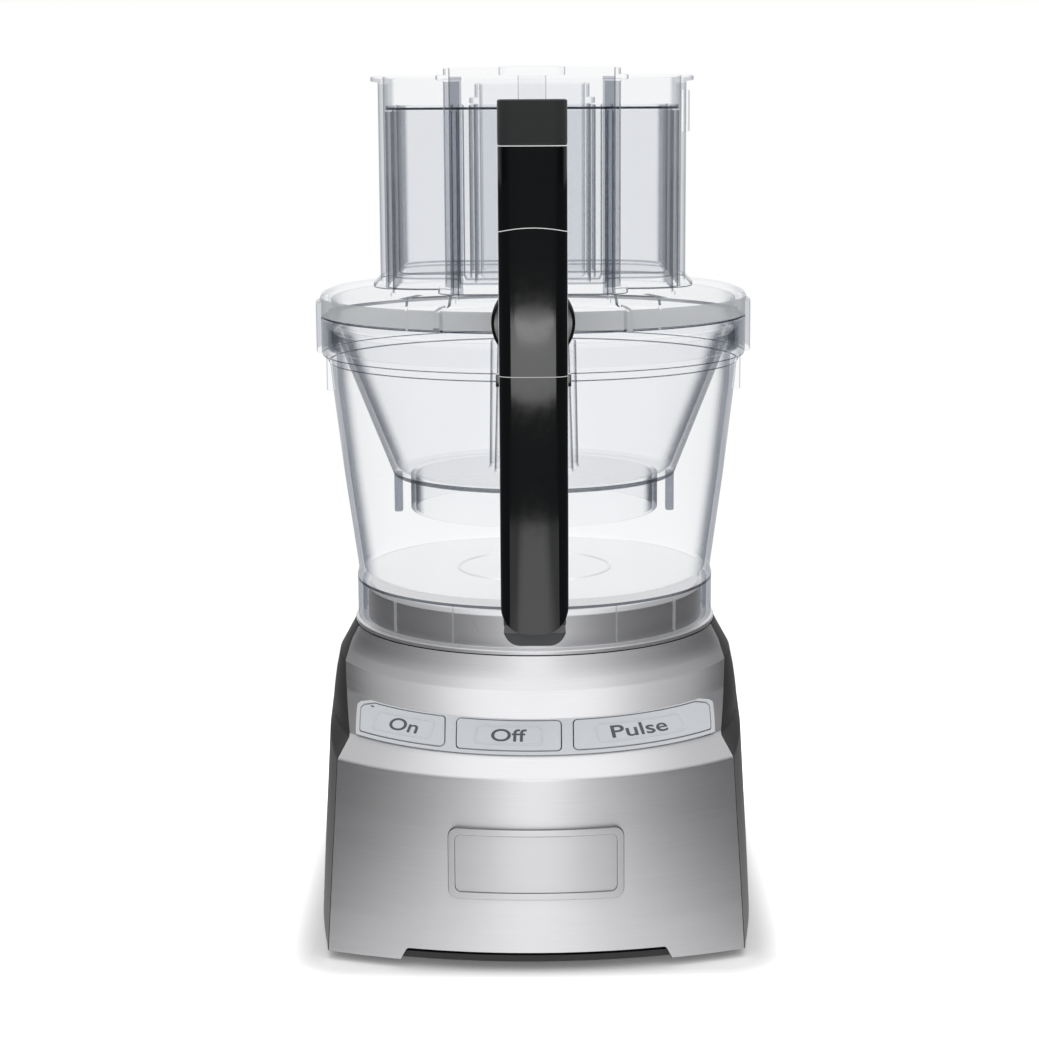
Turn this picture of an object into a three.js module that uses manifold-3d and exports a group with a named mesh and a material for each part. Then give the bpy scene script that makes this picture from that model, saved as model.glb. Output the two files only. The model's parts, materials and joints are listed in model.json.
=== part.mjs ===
// A two-bowl food processor with a big-mouth feed tube: steel-faced motor base, clear work bowl
// with a second clear bowl nested in it, clear lid, and a sleeve and two pushers over the feed tube.
// Millimetres. +Z is up, -Y is the front, and the origin is on the floor under the bowl axis.

import * as THREE from 'three';
import { mergeVertices } from 'three/addons/utils/BufferGeometryUtils.js';
import Module from 'manifold-3d';

const wasm = await Module();
wasm.setup();
const { Manifold, Mesh: SolidMesh } = wasm;

// ---------------------------------------------------------------- driving dimensions

const GAP = 0.3; // between two parts that seat on each other
const SEAM = 0.4; // between the steel cover and the rear housing
const RUN = 0.35; // radial running clearance of a shaft or pin
const OVER = 1; // how far a cutter, or a solid that is joined, runs past the face that it meets
const REACH = 400; // longer than anything here, for cutters
const ROUND = 28; // sides of a full turn on the large rings
const FINE_ROUND = 48; // the same where lugs are cut from a ring
const SHAFT_ROUND = 20; // and on the shafts and pins

// Motor base, level by level. The front is an arc of radius frontR whose middle is frontD ahead of
// the bowl axis; it ends at cornerX. The side swells to sideX, and the rear is a superellipse.
const LEVELS = [
  { z: 4.2, frontD: 138.0, frontR: 250, cornerX: 95.7, sideX: 105.9, rearD: 138.8, power: 3.4 },
  { z: 30.0, frontD: 137.1, frontR: 197, cornerX: 94.5, sideX: 104.8, rearD: 138.3, power: 3.4 },
  { z: 60.0, frontD: 136.0, frontR: 159, cornerX: 93.0, sideX: 103.2, rearD: 136.8, power: 3.3 },
  { z: 89.8, frontD: 135.0, frontR: 135, cornerX: 91.6, sideX: 101.6, rearD: 132.8, power: 3.1 },
  { z: 96.5, frontD: 126.0, frontR: 114, cornerX: 87.1, sideX: 101.0, rearD: 130.0, power: 3.0 },
  { z: 97.6, frontD: 124.0, frontR: 112, cornerX: 87.1, sideX: 100.8, rearD: 129.2, power: 2.9 },
  { z: 104.8, frontD: 118.0, frontR: 106, cornerX: 88.7, sideX: 100.1, rearD: 123.2, power: 2.7 },
  { z: 112.0, frontD: 112.0, frontR: 100, cornerX: 90.4, sideX: 99.1, rearD: 114.8, power: 2.5 },
  { z: 121.5, frontD: 98.6, frontR: 98.6, cornerX: 91.9, sideX: 97.2, rearD: 100.2, power: 2.1 },
  { z: 128.0, frontD: 93.4, frontR: 93.4, cornerX: 90.6, sideX: 93.6, rearD: 94.0, power: 2.0 },
  { z: 135.7, frontD: 89.4, frontR: 89.4, cornerX: 86.5, sideX: 89.4, rearD: 89.4, power: 2.0 },
];
const COVER_WALL = 2.6; // level thickness of the steel cover and the rear housing
const SLOPE_LOW = LEVELS.at(-6); // the control slope rises from here
const SLOPE_HIGH = LEVELS.at(-4); // to here
const FRONT_STEPS = 16; // facets of the front arc, and of half the side and rear path
const SIDE_STEPS = 3;
const REAR_STEPS = 7;
const NOTCH = { half: 59, height: 5.4, splay: 4, round: 2 }; // finger notch under the front face
const VENT = { half: 2, pitch: 9, low: 40, high: 76, each: 3 }; // rear air slots, on each side of the middle
const FLOOR_VENT = { half: 1.8, pitch: 10, front: 66, rear: 96, each: 3 }; // the same in the base plate

const PLATE_THICK = 3;
const PLATE_CLEAR = 1; // the covers lean in above the plate's edge
const FOOT_R = 9;
const FOOT_HEIGHT = 3.9;
const FEET = [[-80, -103], [80, -103], [-82, 104], [82, 104]];

// Control strip on the slope, cut square at both ends with its upper corners dropped and chamfered.
const PANEL_INSET = 3.5; // from the cover's corner to the strip's end
const PANEL = {
  half: SLOPE_LOW.cornerX - PANEL_INSET, rise: 0.7, sink: 1.1, bare: 0.4,
  round: 1.4, flat: 7, drop: 2, chamfer: 3.8,
};
const KEY_INSET = 2.2; // from the strip's end to the first and the last key
const KEY_END = PANEL.half - KEY_INSET;
const KEYS = [['on_button', -KEY_END, -41.3], ['off_button', -35.6, 11.5], ['pulse_button', 17.4, KEY_END]];
const KEY = { gap: 0.5, rise: 1, depth: 2.6, low: 2.2, high: 1.2, round: 1.8 };
const PAD_STEP = 9; // longest facet of what is bent round the slope

// Bare badge: a plate bowed with the front, its field sunk inside a rim.
const BADGE = { half: 39.8, height: 32.5, z: 51, corner: 4.2, thick: 1.6, rim: 3.2, sink: 0.8 };

const SKIRT_R = 88; // outside of the bowl's skirt, which stands on the base's shelf
const FLANGE_R = SKIRT_R + 0.4; // the shelf
const FLANGE_THICK = 2;
const PEDESTAL_R = SKIRT_R - 5; // what the skirt goes round
const PEDESTAL_HEIGHT = 17;
const PEDESTAL_WALL = 3;

// Drive: motor on the bowl axis, a planetary stage above it, and the drive shaft.
const MODULE = 1.25;
const PRESSURE = THREE.MathUtils.degToRad(25);
const TEETH = { sun: 12, planet: 18, ring: 48 };
const PLANET_ANGLES = [90, 210, 330];
const ADDENDUM = 0.9 * MODULE;
const DEDENDUM = 1.25 * MODULE;
const BACKLASH = 0.16;
const GEAR_FACE = 12;
const GEAR_Z = 91;
const RING_WALL = 5;
const PIN_R = 3;
const CARRIER_THICK = 5;
const CARRIER_GAP = 0.8; // between the gears and the carrier's plate
const CARRIER_RIM = 8; // plate outside the circle of the pins
const GEAR_LIFT = 0.4; // the planets run above the ring's lower face
const MOTOR_SHAFT_R = 4;
const ROTOR_R = 27;
const ROTOR_Z = [22, 68];
const STATOR_R = 47; // half the width of the square lamination stack
const STATOR_CORNER = 14;
const STATOR_Z = [24, 66];
const AIR_GAP = 0.6;
const FAN_Z = [71, 79];
const FAN = { r: 38, hub: 10, web: 1.6, blade: 1.6, bladeIn: 16, blades: 7 };
const BEARING_Z = 12; // foot of the motor shaft, in the lower bracket's bearing
const FRAME = { wall: 5, half: 20, plate: 5, post: 18, round: 6, ringIn: 28 }; // motor brackets and posts
const DRIVE_R = 6;
const DRIVE_TOP = 246;
const DRIVE_NOSE = { rise: 3, inset: 2 };
const DRIVE_FLAT = 4.9; // half the width across the shaft's two flats
const DRIVE_FLAT_LENGTH = 56;

// Work bowl, heights above the shelf that it stands on.
const COLLAR_R = 103.2;
const BOWL = {
  skirtR: SKIRT_R, skirtWall: 2.4, floor: 18.8, floorThick: 3.4, floorR: SKIRT_R - 3.4, wall: 2.6,
  bendR: COLLAR_R - 9.7, bendZ: 71.7, shoulderR: COLLAR_R - 4.6, shoulderZ: 115.7,
  collarR: COLLAR_R, collarZ: 130.2, stepZ: 132.4, rimZ: 147.9,
  hubR: 13, hubBore: 9, hubZ: 58, ringR: 37.5, ringRise: 0.8,
};
const NEST = 0.4; // radial clearance of what drops into the bowl's collar
const RIB_HALF = 0.9;
const SKIRT_RIBS = [27.5, 52.5, 90, 127.5]; // headings of the ribs inside the skirt, on both sides
// Bayonet ramps inside the skirt: how far each runs round, where its sloped end meets its foot, and its rise.
const RAMP = { from: -32, foot: -26, to: -14, low: 7, thick: 1.2, turns: [0, 120, 240] };
const STOP = { half: 3, reach: 3, height: 19 }; // under the collar, on the line of the lid's lugs

// Second bowl, heights above its seat in the work bowl's collar.
const LIP_R = BOWL.collarR - BOWL.wall - NEST;
const INNER = {
  lipR: LIP_R, lipZ: 10.6, wallR: LIP_R - 3.8, bendR: LIP_R - 9.9, bendZ: -8,
  floorR: 70.2, floorZ: -60, wall: 2.4, tubeR: 22, tubeZ: 4.5, skirtR: 61, skirtZ: -80,
};
const LEG = { out: 1, width: 7.5, thick: 4, z: -81.8, round: 1.2 }; // under the second bowl's floor

// Lid, heights above the work bowl's rim.
const BAND_R = BOWL.collarR + 0.8;
const LID = {
  bandR: BAND_R, bandZ: 9.5, crownR: BAND_R - 6, crownZ: 13.8, deckR: BAND_R - 26, deckZ: 15.5,
  wall: 2.4, spigotZ: -3, tubeZ: 98.5,
};
const LUG = { stand: 2, depth: 17, half: 11, chamfer: 3.4 }; // at both sides, down over the collar
// Pair of windows engraved on the lid's shoulder, and the mark that shows where it locks.
const LID_WINDOW = { inner: 37, outer: 58, front: 95, rear: 72, round: 3, line: 1.2, depth: 0.6 };
const LID_MARK = { heading: -25, half: 1.3, height: 2, depth: 1.2 };

// Plan of the feed tube's bore: a wide rear part and a narrower nose. Everything round it grows out.
const TUBE = { half: 67, rear: 58, front: -42, noseHalf: 34.5, nose: -77, rearRound: 30, frontRound: 16,
  noseRound: 6, inRound: 10 };
const TUBE_WALL = 2.4;
const SLEEVE_SLIP = 0.9; // between the tube and the sleeve
const SLEEVE_WALL = 2.4;
const SLEEVE_FLANGE = 3.4;
const SLEEVE_FLANGE_THICK = 2.6;
const SLEEVE_HEIGHT = 98.6;
const NOSE_RISE = 3; // the nose's rim stands above the sides
const TONGUE = { half: 14.5, thick: 4, round: 6, overlap: 6 }; // forward from the nose's rim, over the post
const POST = { r: 6.2, back: 14 };
const CLIP = { half: 6, low: 72, high: 92, stand: 3 }; // on the sleeve's right side
const PUSHER_SLIP = 0.8;
const PUSHER_WALL = 2.2;
const PUSHER_LIP = 2.4;
const PUSHER_BOTTOM = 79; // below the lip
const WELL = { half: 27, front: -68, rear: 2, round: 14 };
const SMALL_SLIP = 0.6;
const SMALL_TOP = 12;
const SMALL_LIP = 3;

// The handle column that all three parts share, in front of the bowl.
const GRIP = { half: 15, front: LID.bandR + 38, depth: 20, round: 7, arch: 1.8, foot: 12 };
const ARM_HALF = GRIP.half - 2; // half the width of the arms that carry it
const ARM_DEPTH = { bowl: 14, sleeve: 18 };
const TAB = { half: 1.3, out: 0.2, deep: 6, height: 5.5 }; // small ears at the top of the bowl's handle
const BOWL_GRIP_Z = [158, 271.5];
const LID_GRIP_TOP = 333.6;
const SLEEVE_GRIP_TOP = 369.9;
const LOCK_HEIGHT = 19.4;
const LOCK_DEPTH = 17;
const BOSS = { r: 18.7, depth: 8, lift: 1.2 }; // round boss behind the lid's handle
const FOOT_BLOCK = { inset: 1, low: 6, high: 9, back: 6, front: 4, round: 4 }; // clear foot under the handle

// ---------------------------------------------------------------- materials

function finish(color, roughness, metalness, extra = {}) {
  return new THREE.MeshStandardMaterial({ color, roughness, metalness, ...extra });
}

const brushedSteel = finish(0xb4b6b9, 0.34, 1);
const darkPlastic = finish(0x3b3b3a, 0.55, 0);
const blackGloss = finish(0x0a0c0e, 0.12, 0);
const charcoal = finish(0x35373a, 0.5, 0);
const paleGrey = finish(0xc9ccd0, 0.45, 0);
const clearPlastic = finish(0xe3e6ec, 0.05, 0, { transparent: true, opacity: 0.35 });
const rubber = finish(0x1b1b1c, 0.85, 0);
const castAlloy = finish(0x9a9c9e, 0.5, 1);
const gearSteel = finish(0x8c8e90, 0.35, 1);
const windings = finish(0x9a5a34, 0.5, 0.6);

// ---------------------------------------------------------------- solids

function signedVolume(points, triangles) {
  let volume = 0;
  const corner = (i) => new THREE.Vector3(points[3 * i], points[3 * i + 1], points[3 * i + 2]);
  for (let i = 0; i < triangles.length; i += 3) {
    const [a, b, c] = [corner(triangles[i]), corner(triangles[i + 1]), corner(triangles[i + 2])];
    volume += a.dot(b.cross(c)) / 6;
  }
  return volume;
}

/** A closed geometry as a manifold solid whose faces point out. */
function solidOf(geometry) {
  geometry.deleteAttribute('normal');
  geometry.deleteAttribute('uv');
  const merged = mergeVertices(geometry, 1e-4);
  const index = merged.index.array;
  const triangles = [];
  for (let i = 0; i < index.length; i += 3) {
    const [a, b, c] = [index[i], index[i + 1], index[i + 2]];
    if (a !== b && b !== c && c !== a) triangles.push(a, b, c);
  }
  const points = new Float32Array(merged.attributes.position.array);
  if (signedVolume(points, triangles) < 0) triangles.reverse();
  const mesh = new SolidMesh({ numProp: 3, vertProperties: points, triVerts: new Uint32Array(triangles) });
  return new Manifold(mesh);
}

function geometryOf(solid) {
  const mesh = solid.getMesh();
  const geometry = new THREE.BufferGeometry();
  geometry.setAttribute('position', new THREE.BufferAttribute(new Float32Array(mesh.vertProperties), 3));
  geometry.setIndex(new THREE.BufferAttribute(new Uint32Array(mesh.triVerts), 1));
  geometry.computeVertexNormals();
  return geometry;
}

const join = (first, ...others) => others.reduce((sum, solid) => sum.add(solid), first);
const cut = (first, ...others) => others.reduce((rest, solid) => rest.subtract(solid), first);
const common = (first, ...others) => others.reduce((rest, solid) => rest.intersect(solid), first);

/** A profile of [radius, height] pairs turned round the Z axis; off the axis it closes on itself. */
function revolve(profile, segments = ROUND) {
  const points = profile.map(([r, z]) => new THREE.Vector2(r, z));
  if (profile[0][0] > 0 || profile.at(-1)[0] > 0) points.push(points[0].clone());
  const geometry = new THREE.LatheGeometry(points, segments);
  geometry.rotateX(Math.PI / 2);
  return solidOf(geometry);
}

const disc = (r, z0, z1, segments = ROUND) => revolve([[0, z0], [r, z0], [r, z1], [0, z1]], segments);
const tube = (rIn, rOut, z0, z1, segments = ROUND) => (
  revolve([[rIn, z0], [rOut, z0], [rOut, z1], [rIn, z1]], segments)
);

/** A loop of points between heights z0 and z1, with holes that are loops too. */
function prism(loop, z0, z1, holes = []) {
  const shape = new THREE.Shape(loop);
  shape.holes = holes.map((hole) => new THREE.Path(hole));
  const geometry = new THREE.ExtrudeGeometry(shape, { depth: z1 - z0, bevelEnabled: false });
  geometry.translate(0, 0, z0);
  return solidOf(geometry);
}

/** A loop drawn on the front view, X across and Z up, and pushed from y0 to y1. */
function frontPrism(loop, y0, y1) {
  const shape = new THREE.Shape(loop);
  const geometry = new THREE.ExtrudeGeometry(shape, { depth: y1 - y0, bevelEnabled: false });
  geometry.rotateX(Math.PI / 2);
  geometry.translate(0, y1, 0);
  return solidOf(geometry);
}

/** A loop drawn on the side view, Y across and Z up, and pushed from x0 to x1. */
function sidePrism(loop, x0, x1) {
  const shape = new THREE.Shape(loop);
  const geometry = new THREE.ExtrudeGeometry(shape, { depth: x1 - x0, bevelEnabled: false });
  geometry.rotateY(Math.PI / 2);
  geometry.rotateX(Math.PI / 2);
  geometry.translate(x0, 0, 0);
  return solidOf(geometry);
}

/** Level loops of one length joined into a closed skin. */
function loft(loops) {
  const count = loops[0].length;
  const positions = loops.flat().flatMap((p) => [p.x, p.y, p.z]);
  const indices = [];
  for (let level = 0; level + 1 < loops.length; level += 1) {
    for (let i = 0; i < count; i += 1) {
      const a = level * count + i;
      const b = level * count + ((i + 1) % count);
      indices.push(a, b, b + count, a, b + count, a + count);
    }
  }
  const top = (loops.length - 1) * count;
  const flat = (loop) => loop.map((p) => new THREE.Vector2(p.x, p.y));
  const capOf = (loop) => THREE.ShapeUtils.triangulateShape(flat(loop), []);
  capOf(loops[0]).forEach(([a, b, c]) => indices.push(c, b, a));
  capOf(loops.at(-1)).forEach(([a, b, c]) => indices.push(top + a, top + b, top + c));
  const geometry = new THREE.BufferGeometry();
  geometry.setAttribute('position', new THREE.Float32BufferAttribute(positions, 3));
  geometry.setIndex(indices);
  return solidOf(geometry);
}

/** A polygon of [x, y, radius] corners with each corner rounded to its radius. */
function roundedLoop(corners, steps = 5) {
  const points = [];
  corners.forEach(([x, y, radius], i) => {
    const before = corners.at(i - 1);
    const after = corners[(i + 1) % corners.length];
    const corner = new THREE.Vector2(x, y);
    if (radius < 0.01) {
      points.push(corner);
      return;
    }
    const back = new THREE.Vector2(before[0] - x, before[1] - y).normalize();
    const ahead = new THREE.Vector2(after[0] - x, after[1] - y).normalize();
    const half = Math.acos(THREE.MathUtils.clamp(back.dot(ahead), -1, 1)) / 2;
    const reach = radius / Math.tan(half);
    const centre = back.clone().add(ahead).setLength(radius / Math.sin(half)).add(corner);
    const from = corner.clone().addScaledVector(back, reach).sub(centre).angle();
    let sweep = corner.clone().addScaledVector(ahead, reach).sub(centre).angle() - from;
    if (sweep > Math.PI) sweep -= 2 * Math.PI;
    if (sweep < -Math.PI) sweep += 2 * Math.PI;
    for (let k = 0; k <= steps; k += 1) {
      const angle = from + (sweep * k) / steps;
      points.push(new THREE.Vector2(Math.cos(angle), Math.sin(angle)).multiplyScalar(radius).add(centre));
    }
  });
  return points;
}

const boxLoop = (x0, x1, y0, y1, radius = 0, steps = 5) => (
  roundedLoop([[x0, y0, radius], [x1, y0, radius], [x1, y1, radius], [x0, y1, radius]], steps)
);
const box = (x0, x1, y0, y1, z0, z1) => prism(boxLoop(x0, x1, y0, y1), z0, z1);

/** The part of the plan between two headings, in degrees from the front, + to the right. */
function wedge(from, to, z0, z1) {
  const steps = 4;
  const loop = [new THREE.Vector2(0, 0)];
  for (let k = 0; k <= steps; k += 1) {
    const heading = THREE.MathUtils.degToRad(from + ((to - from) * k) / steps);
    loop.push(new THREE.Vector2(Math.sin(heading), -Math.cos(heading)).multiplyScalar(REACH));
  }
  return prism(loop, z0, z1);
}

const turned = (solid, degrees) => solid.rotate([0, 0, degrees]);

const processor = new THREE.Group();

function group(parent, x, y, z) {
  const made = new THREE.Group();
  made.position.set(x, y, z);
  parent.add(made);
  return made;
}

function piece(parent, name, solid, material) {
  const mesh = new THREE.Mesh(geometryOf(solid), material);
  mesh.name = name;
  parent.add(mesh);
  return mesh;
}

// ---------------------------------------------------------------- base housing

const arcCentreY = (level) => level.frontR - level.frontD;

/** Points of the front arc at a level, set in by `inset`, from the left end to the right. */
function frontArc(level, inset, steps) {
  const limit = Math.asin(level.cornerX / level.frontR);
  const points = [];
  for (let k = 0; k <= steps; k += 1) {
    const angle = -limit + (2 * limit * k) / steps;
    const r = level.frontR - inset;
    points.push(new THREE.Vector3(r * Math.sin(angle), arcCentreY(level) - r * Math.cos(angle), level.z));
  }
  return points;
}

function frontCoverLoop(level) {
  const outer = frontArc(level, 0, FRONT_STEPS);
  const inner = frontArc(level, COVER_WALL, FRONT_STEPS);
  return [...outer, ...inner.reverse()];
}

/** The base's outer plan, solid from the front arc back, grown by `grow`: a cutter for what sits on it. */
function frontBlock(grow) {
  return loft(LEVELS.map((level) => {
    const outer = frontArc(level, -grow, FRONT_STEPS);
    const back = (x) => new THREE.Vector3(x, 60, level.z);
    return [...outer, back(outer.at(-1).x), back(outer[0].x)];
  }));
}

/** Right half of the rear housing's outer path, from the front corner round to the rear middle. */
function sidePath(level, sideSteps, rearSteps) {
  const cornerY = arcCentreY(level) - Math.sqrt(level.frontR ** 2 - level.cornerX ** 2);
  const points = [];
  for (let k = 0; k < sideSteps; k += 1) {
    const along = 1 - k / sideSteps;
    const x = level.sideX - (level.sideX - level.cornerX) * along ** 2;
    points.push(new THREE.Vector2(x, cornerY * along));
  }
  for (let k = 0; k <= rearSteps; k += 1) {
    const angle = (Math.PI / 2) * (k / rearSteps);
    const bulge = 2 / level.power;
    points.push(new THREE.Vector2(
      level.sideX * Math.cos(angle) ** bulge,
      level.rearD * Math.sin(angle) ** bulge,
    ));
  }
  points.at(-1).x = 0;
  return points;
}

/** The whole side and rear path at a level, set in by `inset`, from the right corner to the left. */
function rearPath(level, inset) {
  const half = sidePath(level, SIDE_STEPS, REAR_STEPS);
  const mirrored = half.slice(0, -1).map((p) => new THREE.Vector2(-p.x, p.y)).reverse();
  const path = [...half, ...mirrored];
  const cornerAngle = Math.asin(level.cornerX / level.frontR);
  return path.map((p, i) => {
    if (i === 0 || i === path.length - 1) {
      const side = i === 0 ? 1 : -1;
      const inward = new THREE.Vector2(-side * Math.sin(cornerAngle), Math.cos(cornerAngle));
      return p.clone().addScaledVector(inward, inset);
    }
    const along = path[i + 1].clone().sub(path[i - 1]).normalize();
    return p.clone().add(new THREE.Vector2(-along.y, along.x).multiplyScalar(inset));
  });
}

function rearHousingLoop(level) {
  const outer = rearPath(level, 0);
  const inner = rearPath(level, COVER_WALL);
  const cornerAngle = Math.asin(level.cornerX / level.frontR);
  // The seam: both corners stand off the steel cover by the seating gap.
  const seam = new THREE.Vector2(Math.cos(cornerAngle), Math.sin(cornerAngle)).multiplyScalar(SEAM);
  const last = outer.length - 1;
  for (const path of [outer, inner]) {
    path[0] = path[0].clone().add(seam);
    path[last] = path[last].clone().add(new THREE.Vector2(-seam.x, seam.y));
  }
  return [...outer, ...inner.reverse()].map((p) => new THREE.Vector3(p.x, p.y, level.z));
}

const slopeLength = Math.hypot(SLOPE_LOW.frontR - SLOPE_HIGH.frontR, SLOPE_HIGH.z - SLOPE_LOW.z);
const slopeNormal = new THREE.Vector2(SLOPE_HIGH.z - SLOPE_LOW.z, SLOPE_LOW.frontR - SLOPE_HIGH.frontR)
  .divideScalar(slopeLength);
const slopeAlong = new THREE.Vector2(-slopeNormal.y, slopeNormal.x);

const slopeMiddleR = (SLOPE_LOW.frontR + SLOPE_HIGH.frontR) / 2;
const slopeCentreY = arcCentreY(SLOPE_LOW); // the slope is part of a cone whose axis stands here

/** A prism along X divided into equal strips no wider than `step`, still one solid. */
function striped(flat, step) {
  const from = flat.boundingBox().min[0];
  const length = flat.boundingBox().max[0] - from;
  const count = Math.ceil(length / step);
  const seamAt = (k) => from + (length * k) / count;
  const corners = [];
  for (let k = 0; k < count; k += 1) {
    const slab = box(seamAt(k), seamAt(k + 1), -REACH, REACH, -REACH, REACH);
    const { vertProperties: points, triVerts } = common(flat, slab).getMesh();
    const seams = [k > 0 ? seamAt(k) : NaN, k + 1 < count ? seamAt(k + 1) : NaN];
    for (let i = 0; i < triVerts.length; i += 3) {
      const triangle = [0, 1, 2].map((c) => triVerts[i + c]);
      const onSeam = seams.some((seam) => triangle.every((v) => Math.abs(points[3 * v] - seam) < 1e-3));
      if (!onSeam) triangle.forEach((v) => corners.push(points[3 * v], points[3 * v + 1], points[3 * v + 2]));
    }
  }
  const geometry = new THREE.BufferGeometry();
  geometry.setAttribute('position', new THREE.Float32BufferAttribute(corners, 3));
  return solidOf(geometry);
}

/** A pad drawn on the unrolled slope, across and up, and bent round onto it between two heights off it. */
function slopePad(loop, height0, height1, holes = []) {
  return striped(prism(loop, height0, height1, holes), PAD_STEP).warp((point) => {
    const heading = point[0] / slopeMiddleR;
    const r = SLOPE_LOW.frontR + slopeAlong.x * point[1] + slopeNormal.x * point[2];
    const z = SLOPE_LOW.z + slopeAlong.y * point[1] + slopeNormal.y * point[2];
    point[0] = r * Math.sin(heading);
    point[1] = slopeCentreY - r * Math.cos(heading);
    point[2] = z;
  });
}

/** How far across the unrolled slope the side position x lies, at a distance up the slope. */
const across = (x, along) => slopeMiddleR * Math.asin(x / (SLOPE_LOW.frontR + slopeAlong.x * along));

const panelSpan = [PANEL.bare, slopeLength - PANEL.bare];
const keySpan = [panelSpan[0] + KEY.low, panelSpan[1] - KEY.high];

function panelLoop(grow) {
  const [low, high] = [panelSpan[0] - grow, panelSpan[1] + grow];
  const end = PANEL.half + grow;
  const corners = [
    [end, low, PANEL.round], [end, high - PANEL.chamfer, 0],
    [end - PANEL.chamfer / 2, high - PANEL.drop, 0], [end - PANEL.flat, high, 0],
  ].map(([x, along, round]) => [across(x, along), along, round]);
  const left = corners.map(([u, along, round]) => [-u, along, round]).reverse();
  return roundedLoop([...corners, ...left], 2);
}

/** A key's outline between two side positions; the chamfer follows the panel's at its outer end. */
function keyLoop(x0, x1, grow) {
  const [low, high] = [keySpan[0] - grow, keySpan[1] + grow];
  const side = (x, outward) => {
    const end = x + outward * grow;
    const atPanelEnd = PANEL.half - Math.abs(x) < PANEL.flat;
    if (!atPanelEnd) return [[end, low, KEY.round + grow], [end, high, KEY.round + grow]];
    return [
      [end, low, KEY.round + grow], [end, high - PANEL.chamfer, 0],
      [end - (outward * PANEL.chamfer) / 2, high - PANEL.drop, 0], [end - outward * PANEL.flat, high, 0],
    ];
  };
  const corners = [...side(x1, 1), ...side(x0, -1).reverse()];
  return roundedLoop(corners.map(([x, along, round]) => [across(x, along), along, round]), 2);
}

function makeFrontCover() {
  const bottom = LEVELS[0].z;
  const notch = roundedLoop([
    [-NOTCH.half - NOTCH.splay, bottom - OVER, 0], [NOTCH.half + NOTCH.splay, bottom - OVER, 0],
    [NOTCH.half, bottom + NOTCH.height, NOTCH.round], [-NOTCH.half, bottom + NOTCH.height, NOTCH.round],
  ], 3);
  const seat = slopePad(panelLoop(GAP), -PANEL.sink - GAP, PANEL.rise + OVER);
  const cover = cut(loft(LEVELS.map(frontCoverLoop)), frontPrism(notch, -REACH, 0), seat);
  const through = -COVER_WALL - PANEL.sink - KEY.depth;
  return KEYS.reduce((rest, [, x0, x1]) => cut(rest, slopePad(keyLoop(x0, x1, KEY.gap), through, OVER)), cover);
}

function makePanel() {
  const windows = KEYS.map(([, x0, x1]) => keyLoop(x0, x1, KEY.gap));
  return slopePad(panelLoop(0), -PANEL.sink, PANEL.rise, windows);
}

const GLAND = { x: 42, z: 22, body: 8, collar: 12, stand: 3.6, shaft: 16, bore: 4, web: 3 };

/** The rear wall's distance behind the axis at a side position, on the level nearest the height. */
function rearAt(x, z) {
  const above = LEVELS.findIndex((level) => level.z >= z);
  const [low, high] = [LEVELS[above - 1], LEVELS[above]];
  const blend = (z - low.z) / (high.z - low.z);
  const onLevel = (level) => level.rearD * (1 - (x / level.sideX) ** level.power) ** (1 / level.power);
  return onLevel(low) * (1 - blend) + onLevel(high) * blend;
}

function makeRearHousing() {
  const shell = loft(LEVELS.map(rearHousingLoop));
  const glandHole = disc(GLAND.body + GAP, 0, REACH, SHAFT_ROUND).rotate([-90, 0, 0]);
  let housing = cut(shell, glandHole.translate([GLAND.x, 0, GLAND.z]));
  for (let k = -VENT.each; k <= VENT.each; k += 1) {
    const middle = k * VENT.pitch;
    const slot = boxLoop(middle - VENT.half, middle + VENT.half, VENT.low, VENT.high, VENT.half, 2);
    housing = cut(housing, frontPrism(slot, 0, REACH));
  }
  return housing;
}

function makeGland() {
  const outside = rearAt(GLAND.x - GLAND.collar, GLAND.z - GLAND.collar) + GAP;
  const body = join(
    disc(GLAND.body, outside - GLAND.shaft, outside + OVER, SHAFT_ROUND),
    disc(GLAND.collar, outside, outside + GLAND.stand, SHAFT_ROUND),
  );
  const bore = disc(GLAND.bore, outside - GLAND.shaft + GLAND.web, REACH, 12);
  return cut(body, bore).rotate([-90, 0, 0]).translate([GLAND.x, 0, GLAND.z]);
}

/** The base plate closes the bottom inside both covers. */
function makeBasePlate() {
  const low = LEVELS[0];
  const inset = COVER_WALL + PLATE_CLEAR;
  const front = frontArc(low, inset, FRONT_STEPS).slice(1, -1).map((p) => new THREE.Vector2(p.x, p.y));
  const outline = [...front, ...rearPath(low, inset).slice(1, -1)];
  const slots = [];
  for (let k = -FLOOR_VENT.each; k <= FLOOR_VENT.each; k += 1) {
    const { half, pitch, front: near, rear: far } = FLOOR_VENT;
    slots.push(boxLoop(k * pitch - half, k * pitch + half, near, far, half, 2));
  }
  return prism(outline, low.z, low.z + PLATE_THICK, slots);
}

function makeBadge() {
  const { half, height, z, corner, thick, rim, sink } = BADGE;
  const outline = (inset) => frontPrism(boxLoop(
    inset - half, half - inset, z - height / 2 + inset, z + height / 2 - inset, corner - inset / 2, 4,
  ), -REACH, -GRIP.half);
  const plate = common(outline(0), cut(frontBlock(GAP + thick), frontBlock(GAP)));
  return cut(plate, cut(outline(rim), frontBlock(GAP + thick - sink)));
}

const shelfZ = LEVELS.at(-1).z + GAP;
const shelfTop = shelfZ + FLANGE_THICK;
const pedestalTop = shelfTop + PEDESTAL_HEIGHT;

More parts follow.
